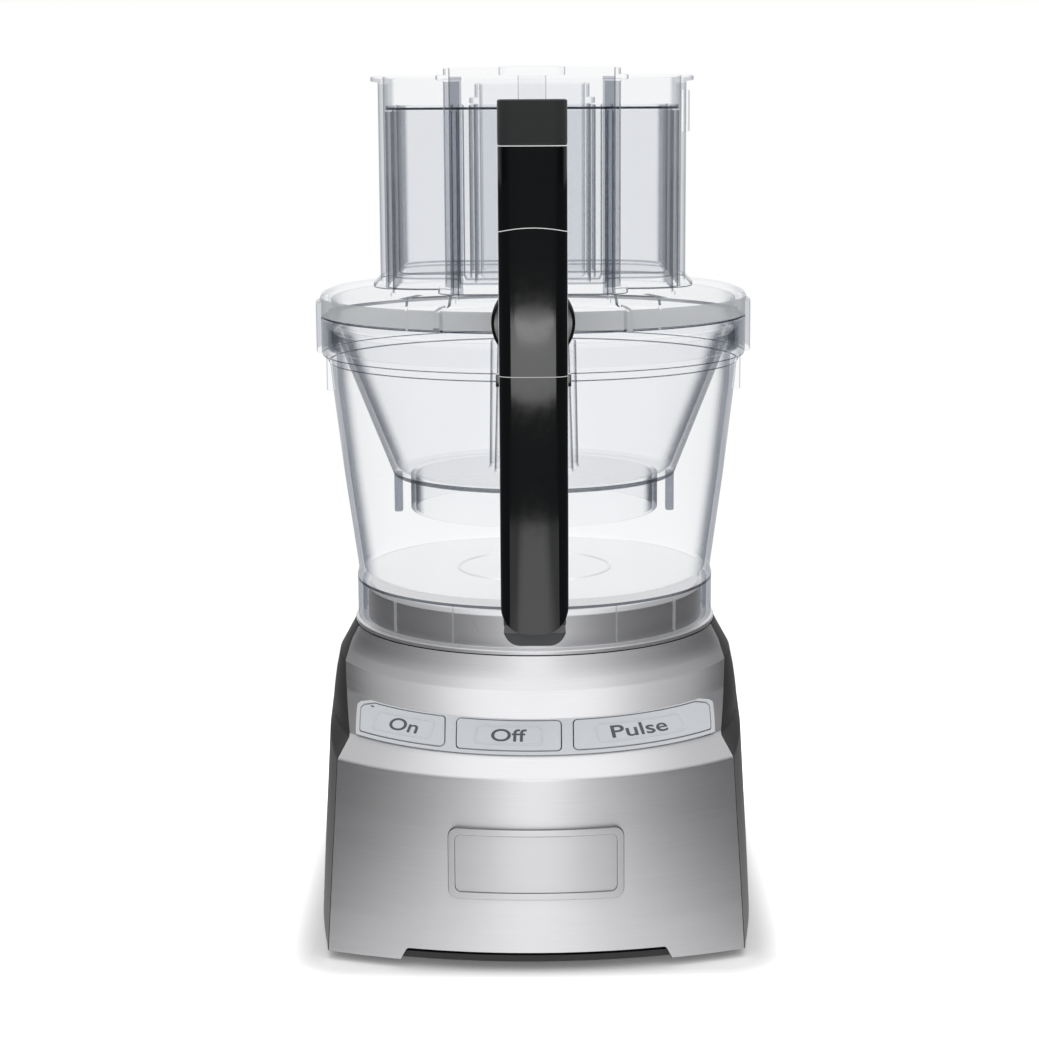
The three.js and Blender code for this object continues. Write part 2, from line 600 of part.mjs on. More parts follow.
function makePlatform() {
  const bore = DRIVE_R + RUN;
  const boss = DRIVE_R + 9;
  const inside = PEDESTAL_R - PEDESTAL_WALL;
  return revolve([
    [bore, shelfZ], [boss, shelfZ], [boss, pedestalTop - PEDESTAL_WALL], [inside, pedestalTop - PEDESTAL_WALL],
    [inside, shelfZ], [FLANGE_R, shelfZ], [FLANGE_R, shelfTop], [PEDESTAL_R, shelfTop],
    [PEDESTAL_R, pedestalTop - 2], [PEDESTAL_R - 2, pedestalTop], [bore, pedestalTop],
  ]);
}

// ---------------------------------------------------------------- drive

const pitchRadius = (teeth) => (MODULE * teeth) / 2;
const involute = (angle) => Math.tan(angle) - angle;

/** The outline of a spur gear's teeth, one tooth's middle at `phase` radians. */
function toothLoop(teeth, tipR, rootR, thinning, phase, flank) {
  const pitchR = pitchRadius(teeth);
  const baseR = pitchR * Math.cos(PRESSURE);
  const halfTooth = Math.PI / (2 * teeth) - thinning / (2 * pitchR);
  const halfAngle = (r) => halfTooth + involute(PRESSURE) - involute(Math.acos(Math.min(1, baseR / r)));
  const points = [];
  const startR = Math.max(baseR, rootR);
  const radii = [rootR];
  for (let k = startR > rootR + 0.6 ? 0 : 1; k <= flank; k += 1) {
    radii.push(startR + ((tipR - startR) * k) / flank);
  }
  for (let tooth = 0; tooth < teeth; tooth += 1) {
    const middle = phase + (2 * Math.PI * tooth) / teeth;
    const at = (r, side) => {
      const angle = middle + side * halfAngle(Math.max(r, baseR));
      points.push(new THREE.Vector2(r * Math.cos(angle), r * Math.sin(angle)));
    };
    radii.forEach((r) => at(r, -1));
    [...radii].reverse().forEach((r) => at(r, 1));
  }
  return points;
}

function externalTeeth(teeth) {
  const r = pitchRadius(teeth);
  return toothLoop(teeth, r + ADDENDUM, r - DEDENDUM, BACKLASH / 2, 0, 1);
}

const gearTop = GEAR_Z + GEAR_FACE;
const ringLow = GEAR_Z - 1;
const ringOuterR = pitchRadius(TEETH.ring) + DEDENDUM + RING_WALL;

function makeRingGear() {
  const r = pitchRadius(TEETH.ring);
  const space = toothLoop(TEETH.ring, r + DEDENDUM, r - ADDENDUM, -BACKLASH / 2, Math.PI / TEETH.ring, 1);
  return cut(disc(ringOuterR, ringLow, gearTop + 1), prism(space, ringLow - OVER, gearTop + 1 + OVER));
}

const planetCentre = pitchRadius(TEETH.sun) + pitchRadius(TEETH.planet);

function makeRotorShaft() {
  const sun = prism(externalTeeth(TEETH.sun), GEAR_Z, gearTop);
  return join(sun, disc(MOTOR_SHAFT_R, BEARING_Z, GEAR_Z + OVER, SHAFT_ROUND));
}

const rotorCore = () => tube(MOTOR_SHAFT_R + GAP, ROTOR_R, ROTOR_Z[0], ROTOR_Z[1], SHAFT_ROUND);

function makeFan() {
  const [low, high] = FAN_Z;
  const hub = tube(MOTOR_SHAFT_R + GAP, FAN.hub, low, high, SHAFT_ROUND);
  const web = tube(FAN.hub - OVER, FAN.r, low, low + FAN.web, SHAFT_ROUND);
  const blade = box(FAN.bladeIn, FAN.r - OVER, -FAN.blade / 2, FAN.blade / 2, low + OVER, high);
  let fan = join(hub, web);
  for (let k = 0; k < FAN.blades; k += 1) fan = join(fan, turned(blade, (360 * k) / FAN.blades));
  return fan;
}

function makeStator() {
  const [low, high] = STATOR_Z;
  const core = prism(boxLoop(-STATOR_R, STATOR_R, -STATOR_R, STATOR_R, STATOR_CORNER, 4), low, high);
  return cut(core, disc(ROTOR_R + AIR_GAP, low - OVER, high + OVER));
}

function makeMotorFrame() {
  const { wall, half: halfDepth, plate, post, round, ringIn } = FRAME;
  const half = STATOR_R + GAP + wall;
  const low = LEVELS[0].z + PLATE_THICK + GAP;
  const high = ringLow - GAP;
  const bearing = disc(MOTOR_SHAFT_R + RUN, low - OVER, high + OVER, SHAFT_ROUND);
  const bracket = (z) => prism(boxLoop(-half, half, -halfDepth, halfDepth, round, 3), z, z + plate);
  const ringSeat = tube(ringIn, ringOuterR, high - plate, high);
  const side = (x0, x1) => box(x0, x1, -post, post, low + OVER, high - OVER);
  const brackets = cut(join(bracket(low), bracket(high - plate)), bearing);
  return join(brackets, ringSeat, side(-half, wall - half), side(half - wall, half));
}

const carrierZ = gearTop + CARRIER_GAP;

function makeCarrier() {
  const plate = disc(planetCentre + CARRIER_RIM, carrierZ, carrierZ + CARRIER_THICK);
  const bore = disc(DRIVE_FLAT + GAP, carrierZ - OVER, carrierZ + CARRIER_THICK + OVER, SHAFT_ROUND);
  const pin = disc(PIN_R, GEAR_Z + GEAR_LIFT, carrierZ + OVER, 16).translate([planetCentre, 0, 0]);
  return PLANET_ANGLES.reduce((carrier, heading) => join(carrier, turned(pin, heading)), cut(plate, bore));
}

function makeDriveShaft() {
  const seat = carrierZ + CARRIER_THICK + GAP;
  const { rise, inset } = DRIVE_NOSE;
  const spigot = disc(DRIVE_FLAT, carrierZ + GAP, seat + OVER, SHAFT_ROUND);
  const shaft = revolve([
    [0, seat], [DRIVE_R, seat], [DRIVE_R, DRIVE_TOP],
    [DRIVE_R - inset, DRIVE_TOP + rise], [0, DRIVE_TOP + rise],
  ], SHAFT_ROUND);
  const flatZ = DRIVE_TOP - DRIVE_FLAT_LENGTH;
  const flat = box(-REACH, REACH, DRIVE_FLAT, REACH, flatZ, REACH);
  return cut(join(spigot, shaft), flat, turned(flat, 180));
}

function planetGear() {
  const bore = disc(PIN_R + RUN, GEAR_Z - OVER, gearTop + OVER, 16);
  return cut(prism(externalTeeth(TEETH.planet), GEAR_Z + GEAR_LIFT, gearTop), bore);
}

// ---------------------------------------------------------------- base assembly

const base = group(processor, 0, 0, 0);
piece(base, 'front_cover', makeFrontCover(), brushedSteel);
piece(base, 'rear_housing', makeRearHousing(), darkPlastic);
piece(base, 'base_plate', makeBasePlate(), darkPlastic);
piece(base, 'bowl_platform', makePlatform(), brushedSteel);
piece(base, 'control_panel', makePanel(), paleGrey);
piece(base, 'badge_plate', makeBadge(), brushedSteel);
piece(base, 'cord_gland', makeGland(), rubber);
const footNames = ['foot_front_left', 'foot_front_right', 'foot_rear_left', 'foot_rear_right'];
FEET.forEach(([x, y], i) => {
  const solid = revolve([[0, 0], [FOOT_R - 1, 0], [FOOT_R, FOOT_HEIGHT], [0, FOOT_HEIGHT]], 16);
  piece(group(base, x, y, 0), footNames[i], solid, rubber);
});
KEYS.forEach(([name, x0, x1]) => {
  piece(base, name, slopePad(keyLoop(x0, x1, 0), PANEL.rise - KEY.depth, KEY.rise), paleGrey);
});
piece(base, 'ring_gear', makeRingGear(), castAlloy);
piece(base, 'motor_frame', makeMotorFrame(), castAlloy);
piece(base, 'motor_stator', makeStator(), windings);
piece(base, 'rotor_shaft', makeRotorShaft(), gearSteel);
piece(base, 'rotor_core', rotorCore(), castAlloy);
piece(base, 'cooling_fan', makeFan(), darkPlastic);
piece(base, 'planet_carrier', makeCarrier(), gearSteel);
piece(base, 'drive_shaft', makeDriveShaft(), gearSteel);
PLANET_ANGLES.forEach((heading, i) => {
  const angle = THREE.MathUtils.degToRad(heading);
  const place = group(base, planetCentre * Math.cos(angle), planetCentre * Math.sin(angle), 0);
  piece(place, `planet_gear_${i + 1}`, planetGear(), gearSteel);
});

// ---------------------------------------------------------------- work bowl

const bowlZ = shelfTop + GAP;
const bowlGroup = group(processor, 0, 0, bowlZ);

function makeWorkBowl() {
  const b = BOWL;
  const skirtIn = b.skirtR - b.skirtWall;
  const floorTop = b.floor + b.floorThick;
  let bowl = revolve([
    [skirtIn, 0], [b.skirtR, 0], [b.skirtR, b.floor + 1.5], [b.floorR + b.wall, floorTop + 2],
    [b.bendR, b.bendZ], [b.shoulderR, b.shoulderZ], [b.shoulderR + 1, b.collarZ - 4], [b.collarR, b.collarZ],
    [b.collarR, b.rimZ], [b.collarR - b.wall, b.rimZ], [b.collarR - b.wall, b.stepZ],
    [b.shoulderR - b.wall + 0.6, b.stepZ], [b.shoulderR - b.wall, b.shoulderZ], [b.bendR - b.wall, b.bendZ],
    [b.floorR, floorTop + 2], [b.floorR - 2, floorTop], [b.ringR + 1, floorTop],
    [b.ringR, floorTop + b.ringRise], [b.ringR - 1, floorTop], [b.hubR, floorTop], [b.hubR, b.hubZ],
    [b.hubBore, b.hubZ], [b.hubBore, b.floor], [skirtIn, b.floor],
  ]);
  const rib = box(-RIB_HALF, RIB_HALF, -skirtIn - OVER, -PEDESTAL_R - RIB_HALF, RIB_HALF, b.floor + OVER / 2);
  SKIRT_RIBS.forEach((heading) => {
    bowl = join(bowl, turned(rib, heading), turned(rib, -heading));
  });
  const rampFace = frontPrism([
    [RAMP.from, b.floor], [RAMP.foot, RAMP.low], [RAMP.to, RAMP.low], [RAMP.to, b.floor],
  ].map(([x, z]) => new THREE.Vector2(x, z)), -REACH, 0);
  const ramp = common(rampFace, tube(skirtIn - RAMP.thick, b.skirtR - OVER, 0, b.floor + OVER / 2, FINE_ROUND));
  RAMP.turns.forEach((heading) => {
    bowl = join(bowl, turned(ramp, heading));
  });
  const stop = box(b.shoulderR - OVER, b.shoulderR + STOP.reach, -STOP.half, STOP.half,
    b.collarZ - STOP.height, b.collarZ - OVER);
  return join(bowl, stop, turned(stop, 180));
}

/** The handle column between two heights: rounded in plan, its ends arched or flat. */
function gripColumn(z0, z1, { archLow = 0, archHigh = 0, foot = 0 } = {}) {
  const { half, front, depth, round } = GRIP;
  const margin = OVER + archHigh;
  const plan = prism(boxLoop(-half, half, -front, depth - front, round, 6), z0 - OVER, z1 + margin);
  const steps = 8;
  const loop = [];
  if (foot > 0) {
    const corners = [[-half, z0, foot], [half, z0, foot], [half, z1, 0], [-half, z1, 0]];
    loop.push(...roundedLoop(corners, 6).slice(0, -2));
  } else {
    for (let k = 0; k <= steps; k += 1) {
      const x = -half + (2 * half * k) / steps;
      loop.push(new THREE.Vector2(x, z0 + archLow * (1 - (x / half) ** 2)));
    }
  }
  for (let k = steps; k >= 0; k -= 1) {
    const x = -half + (2 * half * k) / steps;
    loop.push(new THREE.Vector2(x, z1 + archHigh * (1 - (x / half) ** 2)));
  }
  return common(plan, frontPrism(loop, -REACH, 0));
}

const gripBack = GRIP.front - GRIP.depth;

function makeBowlGrip() {
  const [low, high] = BOWL_GRIP_Z.map((z) => z - bowlZ);
  const b = BOWL;
  const column = gripColumn(low, high, { foot: GRIP.foot });
  const armLow = b.collarZ - ARM_DEPTH.bowl;
  const armBack = -gripBack - 2;
  const arm = box(-ARM_HALF, ARM_HALF, armBack, -b.shoulderR + 2 * STOP.reach, armLow, high - 2);
  const over = b.rimZ + GRIP.foot;
  const outside = revolve([
    [b.bendR + GAP, b.bendZ], [REACH, b.bendZ], [REACH, over], [b.collarR + GAP, over],
    [b.collarR + GAP, b.collarZ - 0.5], [b.shoulderR + 1 + GAP, b.collarZ - 4.6],
    [b.shoulderR + GAP, b.shoulderZ - 0.3],
  ]);
  const fillet = sidePrism([
    [armBack, armLow - 14], [armBack + 3, armLow - 6], [armBack + 8, armLow - 1.5],
    [armBack + 14, armLow + OVER], [armBack, armLow + OVER],
  ].map(([y, z]) => new THREE.Vector2(y, z)), -ARM_HALF, ARM_HALF);
  const ear = GRIP.half + TAB.out;
  const tabTo = -gripBack - 2;
  const tab = box(ear - TAB.half, ear + TAB.half, tabTo - TAB.deep, tabTo, high - TAB.height, high);
  return join(column, common(join(arm, fillet), outside), tab, tab.mirror([1, 0, 0]));
}

/** Clear foot that ties the handle's lower end to the bowl's skirt. */
function makeBowlFoot() {
  const { inset, low: under, high: over, back, front: lead, round } = FOOT_BLOCK;
  const low = BOWL_GRIP_Z[0] - bowlZ;
  const half = GRIP.half - inset;
  const plan = boxLoop(-half, half, lead - GRIP.front, back - BOWL.skirtR, round, 3);
  const b = BOWL;
  const bend = b.floor + b.floorThick + 2;
  const slope = (b.bendR - b.floorR - b.wall) / (b.bendZ - bend);
  const outside = revolve([
    [b.skirtR + GAP, -OVER], [REACH, -OVER], [REACH, b.bendZ], [b.bendR + GAP, b.bendZ],
    [b.floorR + b.wall + GAP + slope, bend], [b.skirtR + GAP, b.floor + 1.5],
  ]);
  const gripHalf = GRIP.half + GAP;
  const handle = box(-gripHalf, gripHalf, -GRIP.front - GAP, GAP - gripBack, low - GAP, REACH);
  return cut(common(prism(plan, low - under, low + over), outside), handle);
}

piece(bowlGroup, 'work_bowl', makeWorkBowl(), clearPlastic);
piece(bowlGroup, 'bowl_handle', makeBowlGrip(), blackGloss);
piece(bowlGroup, 'handle_foot', makeBowlFoot(), clearPlastic);

// ---------------------------------------------------------------- second bowl

const innerZ = BOWL.stepZ + GAP;
const innerGroup = group(bowlGroup, 0, 0, innerZ);

function makeInnerBowl() {
  const n = INNER;
  let bowl = revolve([
    [n.lipR - n.wall, 0], [n.lipR, 0], [n.lipR, n.lipZ], [n.wallR - n.wall, n.lipZ],
    [n.bendR - n.wall, n.bendZ], [n.floorR - n.wall, n.floorZ + 2], [n.floorR - n.wall - 2, n.floorZ],
    [n.tubeR, n.floorZ], [n.tubeR - 1, n.tubeZ - 2], [n.tubeR - 3, n.tubeZ], [0, n.tubeZ],
    [0, n.tubeZ - n.wall], [n.tubeR - 2 - n.wall, n.tubeZ - n.wall], [n.tubeR - n.wall, n.floorZ - n.wall],
    [n.skirtR - n.wall, n.floorZ - n.wall], [n.skirtR - n.wall, n.skirtZ], [n.skirtR, n.skirtZ],
    [n.skirtR, n.floorZ - n.wall], [n.floorR - 1, n.floorZ - n.wall], [n.floorR, n.floorZ],
    [n.bendR, n.bendZ - 1], [n.wallR, n.lipZ - n.wall], [n.lipR - n.wall, n.lipZ - n.wall],
  ]);
  const legR = n.floorR - LEG.out;
  const legPlan = boxLoop(legR - LEG.thick, legR, -LEG.width / 2, LEG.width / 2, LEG.round, 2);
  const leg = prism(legPlan, LEG.z, n.floorZ - 0.5);
  [0, 90, 180, 270].forEach((heading) => {
    bowl = join(bowl, turned(leg, heading));
  });
  return bowl;
}

piece(innerGroup, 'inner_bowl', makeInnerBowl(), clearPlastic);

// ---------------------------------------------------------------- lid and feed tube

const lidZ = BOWL.rimZ + GAP;
const lidGroup = group(bowlGroup, 0, 0, lidZ);

/** The feed tube's plan grown by a distance, all round. */
function tubeLoop(grow, steps = 3) {
  const t = TUBE;
  const half = t.half + grow;
  const noseHalf = t.noseHalf + grow;
  return roundedLoop([
    [-noseHalf, t.nose - grow, t.noseRound + grow], [noseHalf, t.nose - grow, t.noseRound + grow],
    [noseHalf, t.front - grow, t.inRound - grow], [half, t.front - grow, t.frontRound + grow],
    [half, t.rear + grow, t.rearRound + grow], [-half, t.rear + grow, t.rearRound + grow],
    [-half, t.front - grow, t.frontRound + grow], [-noseHalf, t.front - grow, t.inRound - grow],
  ], steps);
}

/** The lid's outer surface set in by a distance, as a solid: what is left when it is cut marks a line. */
function lidBlock(inset) {
  const l = LID;
  return revolve([
    [0, -OVER], [l.bandR - inset, -OVER], [l.bandR - inset, l.bandZ - inset / 2],
    [l.bandR - 1.2 - inset, l.bandZ + 2.2 - inset], [l.crownR - inset / 2, l.crownZ - inset],
    [l.crownR - 14, l.deckZ - 0.6 - inset], [l.deckR, l.deckZ - inset], [0, l.deckZ - inset],
  ]);
}

function makeLid() {
  const l = LID;
  const spigotR = LIP_R;
  const shell = revolve([
    [0, l.deckZ - l.wall], [l.crownR - 4, l.crownZ - l.wall - 0.4], [l.bandR - l.wall - 2.6, l.bandZ],
    [spigotR - l.wall, 3], [spigotR - l.wall, l.spigotZ], [spigotR, l.spigotZ], [spigotR, 0],
    [l.bandR - 0.5, 0], [l.bandR, 0.5], [l.bandR, l.bandZ], [l.bandR - 1.2, l.bandZ + 2.2],
    [l.crownR, l.crownZ], [l.crownR - 14, l.deckZ - 0.6], [l.deckR, l.deckZ], [0, l.deckZ],
  ]);
  const bore = prism(tubeLoop(0), l.spigotZ - OVER, l.tubeZ + OVER);
  const walls = prism(tubeLoop(TUBE_WALL), l.deckZ - OVER, l.tubeZ);
  const w = LID_WINDOW;
  const line = (inset) => (
    boxLoop(w.inner + inset, w.outer - inset, inset - w.front, -w.rear - inset, w.round - inset, 3)
  );
  const frame = cut(prism(line(0), 0, l.tubeZ, [line(w.line)]), lidBlock(w.depth));
  const mark = box(-LID_MARK.half, LID_MARK.half, -REACH, LID_MARK.depth - l.bandR, -OVER, LID_MARK.height);
  let lid = cut(shell, frame, frame.mirror([1, 0, 0]), turned(mark, LID_MARK.heading));
  lid = cut(join(lid, walls), bore);
  const lugIn = BOWL.collarR + GAP + 0.1;
  const lugR = l.bandR + LUG.stand;
  const ring = revolve([
    [lugIn, -LUG.depth], [lugR, 0.6 - LUG.depth], [lugR, l.bandZ - 2], [lugR - LUG.chamfer, l.bandZ],
    [BOWL.collarR - 2, l.bandZ], [BOWL.collarR - 2, 0.2], [lugIn, 0.2],
  ], FINE_ROUND);
  [-90, 90].forEach((heading) => {
    lid = join(lid, common(ring, wedge(heading - LUG.half, heading + LUG.half, -REACH, REACH)));
  });
  return lid;
}

function makeLidGrip() {
  const low = BOWL_GRIP_Z[1] + GAP - bowlZ - lidZ;
  const high = LID_GRIP_TOP - bowlZ - lidZ;
  const seat = LID.bandR + GAP;
  const column = gripColumn(low, high, { archHigh: GRIP.arch });
  const arm = box(-ARM_HALF, ARM_HALF, -gripBack - 2, -seat, NEST, LID.bandZ);
  const boss = disc(BOSS.r, 0, BOSS.depth, 36).rotate([90, 0, 0]);
  const placed = boss.translate([0, -seat, LID.bandZ / 2 + BOSS.lift]);
  const outside = tube(seat, REACH, -REACH, REACH);
  return join(column, common(join(arm, placed), outside));
}

piece(lidGroup, 'lid', makeLid(), clearPlastic);
piece(lidGroup, 'lid_handle', makeLidGrip(), blackGloss);

// ---------------------------------------------------------------- sleeve

const sleeveZ = LID.deckZ + GAP;
const sleeveGroup = group(lidGroup, 0, 0, sleeveZ);
const sleeveFloor = bowlZ + lidZ + sleeveZ;
const sleeveIn = TUBE_WALL + SLEEVE_SLIP;
const sleeveOut = sleeveIn + SLEEVE_WALL;

function makeSleeve() {
  const flangeLoop = tubeLoop(sleeveOut + SLEEVE_FLANGE);
  const top = SLEEVE_HEIGHT + NOSE_RISE;
  const noseHalf = TUBE.noseHalf + sleeveOut;
  const noseFront = TUBE.nose - sleeveOut;
  const noseRim = boxLoop(-noseHalf, noseHalf, noseFront, TUBE.front, TUBE.noseRound + sleeveOut, 3);
  const walls = join(
    prism(tubeLoop(sleeveOut), 0, SLEEVE_HEIGHT),
    prism(flangeLoop, 0, SLEEVE_FLANGE_THICK),
    prism(flangeLoop, SLEEVE_HEIGHT - SLEEVE_FLANGE_THICK, SLEEVE_HEIGHT),
    prism(noseRim, SLEEVE_HEIGHT - OVER, top),
  );
  const bore = prism(tubeLoop(sleeveIn), -OVER, top + OVER);
  const { half, thick, round, overlap } = TONGUE;
  const tonguePlan = boxLoop(-half, half, overlap - gripBack, noseFront + SLEEVE_WALL / 2, round, 3);
  const tongue = prism(tonguePlan, top - thick, top);
  const postLow = SLEEVE_GRIP_TOP + GAP - sleeveFloor;
  const post = disc(POST.r, postLow, top - OVER, SHAFT_ROUND).translate([0, POST.back - gripBack, 0]);
  const side = TUBE.half + sleeveOut;
  const clip = box(side - OVER, side + CLIP.stand, -CLIP.half, CLIP.half, CLIP.low, CLIP.high);
  return join(cut(walls, bore), tongue, post, clip);
}

function makeSleeveGrip() {
  const low = LID_GRIP_TOP + GAP - sleeveFloor;
  const high = SLEEVE_GRIP_TOP - sleeveFloor;
  const column = gripColumn(low, high, { archLow: GRIP.arch });
  const seat = TUBE.nose - sleeveOut - GAP;
  const arm = box(-ARM_HALF, ARM_HALF, -gripBack - 2, seat, high - ARM_DEPTH.sleeve, high);
  return join(column, arm);
}

function makeLock() {
  const low = SLEEVE_GRIP_TOP + GAP - sleeveFloor;
  const { half, front, round } = GRIP;
  return prism(boxLoop(-half, half, -front, LOCK_DEPTH - front, round, 6), low, low + LOCK_HEIGHT);
}

piece(sleeveGroup, 'sleeve', makeSleeve(), clearPlastic);
piece(sleeveGroup, 'sleeve_handle', makeSleeveGrip(), blackGloss);
piece(sleeveGroup, 'pusher_lock', makeLock(), charcoal);

// ---------------------------------------------------------------- pushers

const pusherGroup = group(sleeveGroup, 0, 0, LID.tubeZ + GAP - sleeveZ);

function wellLoop(grow) {
  const { half, front, rear, round } = WELL;
  return boxLoop(-half - grow, half + grow, front - grow, rear + grow, round + grow, 4);
}

function makePusher() {
  const outer = tubeLoop(-PUSHER_SLIP);
  const inner = tubeLoop(-PUSHER_SLIP - PUSHER_WALL);
  const over = PUSHER_LIP + OVER;
  const shell = join(
    cut(prism(outer, -PUSHER_BOTTOM, PUSHER_LIP), prism(inner, PUSHER_WALL - PUSHER_BOTTOM, over)),
    prism(tubeLoop(TUBE_WALL - GAP), 0, PUSHER_LIP, [inner]),
    prism(wellLoop(PUSHER_WALL), -PUSHER_BOTTOM, PUSHER_LIP),
  );
  return cut(shell, prism(wellLoop(0), -PUSHER_BOTTOM - OVER, over));
}

function makeSmallPusher() {
  const outer = wellLoop(-SMALL_SLIP);
  const inner = wellLoop(-SMALL_SLIP - PUSHER_WALL);
  const rim = wellLoop(PUSHER_WALL - GAP);
  const rimLow = PUSHER_LIP + GAP;
  return join(
    cut(prism(outer, -PUSHER_BOTTOM, SMALL_TOP), prism(inner, PUSHER_WALL - PUSHER_BOTTOM, SMALL_TOP + OVER)),
    prism(rim, rimLow, rimLow + SMALL_LIP, [inner]),
  );
}

piece(pusherGroup, 'large_pusher', makePusher(), clearPlastic);
piece(pusherGroup, 'small_pusher', makeSmallPusher(), clearPlastic);

export default processor;
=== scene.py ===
"""A two-bowl food processor with a steel-faced motor base, clear bowls and a big feed tube.

Every piece is modelled in millimetres and brought to metres when it is finished. +Z is up, -Y is
the front, and the origin is on the floor under the bowl's axis.
"""

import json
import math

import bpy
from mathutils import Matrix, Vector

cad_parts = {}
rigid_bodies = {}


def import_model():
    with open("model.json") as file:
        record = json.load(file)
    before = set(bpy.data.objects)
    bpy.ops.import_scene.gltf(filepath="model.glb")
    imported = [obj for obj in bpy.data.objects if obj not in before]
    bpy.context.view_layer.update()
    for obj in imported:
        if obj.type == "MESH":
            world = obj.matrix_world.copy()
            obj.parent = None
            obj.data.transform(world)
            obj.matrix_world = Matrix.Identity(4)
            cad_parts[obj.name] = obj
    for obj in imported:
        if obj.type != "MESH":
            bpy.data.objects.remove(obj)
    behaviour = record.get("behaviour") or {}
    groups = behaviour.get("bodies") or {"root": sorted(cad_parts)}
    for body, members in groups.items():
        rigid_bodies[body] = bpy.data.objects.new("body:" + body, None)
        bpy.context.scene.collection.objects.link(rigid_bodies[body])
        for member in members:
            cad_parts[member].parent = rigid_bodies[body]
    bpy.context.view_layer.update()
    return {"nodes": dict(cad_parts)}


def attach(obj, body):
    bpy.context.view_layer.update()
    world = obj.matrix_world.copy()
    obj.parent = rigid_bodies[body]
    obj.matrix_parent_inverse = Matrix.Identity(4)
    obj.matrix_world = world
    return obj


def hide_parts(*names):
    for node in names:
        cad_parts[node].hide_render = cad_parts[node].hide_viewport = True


bl_info = {
    "name": "Two-bowl food processor",
    "version": (1, 0, 0),
    "blender": (4, 5, 0),
    "location": "3D View > Sidebar > Processor",
    "description": "Builds a food processor with clear bowls, a steel base, keys and a black handle",
    "category": "Object",
}

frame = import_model()

MM = 0.001
TAU = 2 * math.pi

# ---------------------------------------------------------------- sizes, in millimetres

# Motor base, level by level: height, distance of the front's middle, radius of the front arc, side
# position of the front's corner, half width, distance of the rear, and power of the rear's curve.
LEVELS = [
    (4.2, 138.0, 250, 95.7, 105.9, 138.8, 3.4),
    (30.0, 137.1, 197, 94.5, 104.8, 138.3, 3.4),
    (60.0, 136.0, 159, 93.0, 103.2, 136.8, 3.3),
    (89.8, 135.0, 135, 91.6, 101.6, 132.8, 3.1),
    (96.5, 126.0, 114, 87.1, 101.0, 130.0, 3.0),
    (97.6, 124.0, 112, 87.1, 100.8, 129.2, 2.9),
    (104.8, 118.0, 106, 88.7, 100.1, 123.2, 2.7),
    (112.0, 112.0, 100, 90.4, 99.1, 114.8, 2.5),
    (121.5, 98.6, 98.6, 91.9, 97.2, 100.2, 2.1),
    (128.0, 93.4, 93.4, 90.6, 93.6, 94.0, 2.0),
    (135.7, 89.4, 89.4, 86.5, 89.4, 89.4, 2.0),
]
EASE = [0, 9, 9, 1.1, 0.5, 0.5, 3, 0.9, 0.3, 3.4, 0]  # how far each level's edge is rounded
WALL = 2.6  # thickness of the cover and the housing
SEAM = 0.4  # between the cover and the housing
GAP = 0.3  # between a piece and what it is set in or stands on
NOTCH = {"half": 59, "height": 5.4, "splay": 4, "round": 2}
VENT = {"half": 2, "pitch": 9, "low": 40, "high": 76, "each": 3}
FEET = [(-80, -103), (80, -103), (-82, 104), (82, 104)]
FOOT_R = 9
FOOT_HEIGHT = 3.9
GLAND = {"x": 42, "z": 22, "body": 8, "collar": 12, "face": 138.4, "back": 142, "shaft": 16, "bore": 4}

# The control slope is part of a cone: drawn flat, (across, up, height off it), and bent round.
SLOPE_R, SLOPE_TOP_R = 112, 100
SLOPE_Z, SLOPE_TOP_Z = 97.6, 112.0
SLOPE_AXIS_Y = -12
SLOPE_LENGTH = math.hypot(SLOPE_R - SLOPE_TOP_R, SLOPE_TOP_Z - SLOPE_Z)
SLOPE_UP = ((SLOPE_TOP_R - SLOPE_R) / SLOPE_LENGTH, (SLOPE_TOP_Z - SLOPE_Z) / SLOPE_LENGTH)
SLOPE_OUT = (SLOPE_UP[1], -SLOPE_UP[0])
SLOPE_MIDDLE_R = (SLOPE_R + SLOPE_TOP_R) / 2
PANEL = {"half": 83.6, "rise": 0.7, "sink": 1.1, "bare": 0.4, "round": 1.4, "flat": 7, "drop": 2,
         "chamfer": 3.8}
KEY = {"gap": 0.5, "rise": 1, "depth": 2.6, "low": 2.2, "high": 1.2, "round": 1.8}
# Key: CAD node, its two ends, body, lettering, the raised frame's two ends, and the lettering's width.
KEYS = [
    ("on_button", -81.4, -41.3, "on_key", "On", -74.2, -46.5, 16.6),
    ("off_button", -35.6, 11.5, "off_key", "Off", -27.4, 3.4, 16.2),
    ("pulse_button", 17.4, 81.4, "pulse_key", "Pulse", 27.5, 67.8, 29.0),
]
BADGE = {"half": 39.8, "low": 34.75, "high": 67.25, "corner": 4.2, "thick": 1.6, "rim": 3.2, "sink": 0.8}

# Heights of what stands on the base, and of each part's own zero.
SHELF_Z = 136.0
BOWL_Z = 138.3
INNER_Z = 271.0
LID_Z = 286.5
SLEEVE_Z = 302.3
PUSHER_Z = 385.3
COLLAR_R = 103.2
LIP_R = 100.2
BAND_R = 104.0
SKIRT_RIBS = [27.5, 52.5, 90, 127.5]
RAMP_TURNS = [0, 120, 240]

# Plan of the feed tube's bore; everything round it grows out from there.
TUBE = {"half": 67, "rear": 58, "front": -42, "nose_half": 34.5, "nose": -77, "rear_round": 30,
        "front_round": 16, "nose_round": 6, "in_round": 10}
WELL = {"half": 27, "front": -68, "rear": 2, "round": 14}

# The handle column that three parts share.
GRIP = {"half": 15, "front": 142, "back": 122, "round": 7, "crown": 1.3, "arch": 1.8, "foot": 12}
GRIP_Z = {"bowl": (158.0, 271.5), "lid": (271.8, 333.6), "sleeve": (333.9, 369.9), "lock": (370.2, 389.6)}

TURN = 128  # sides of a full turn


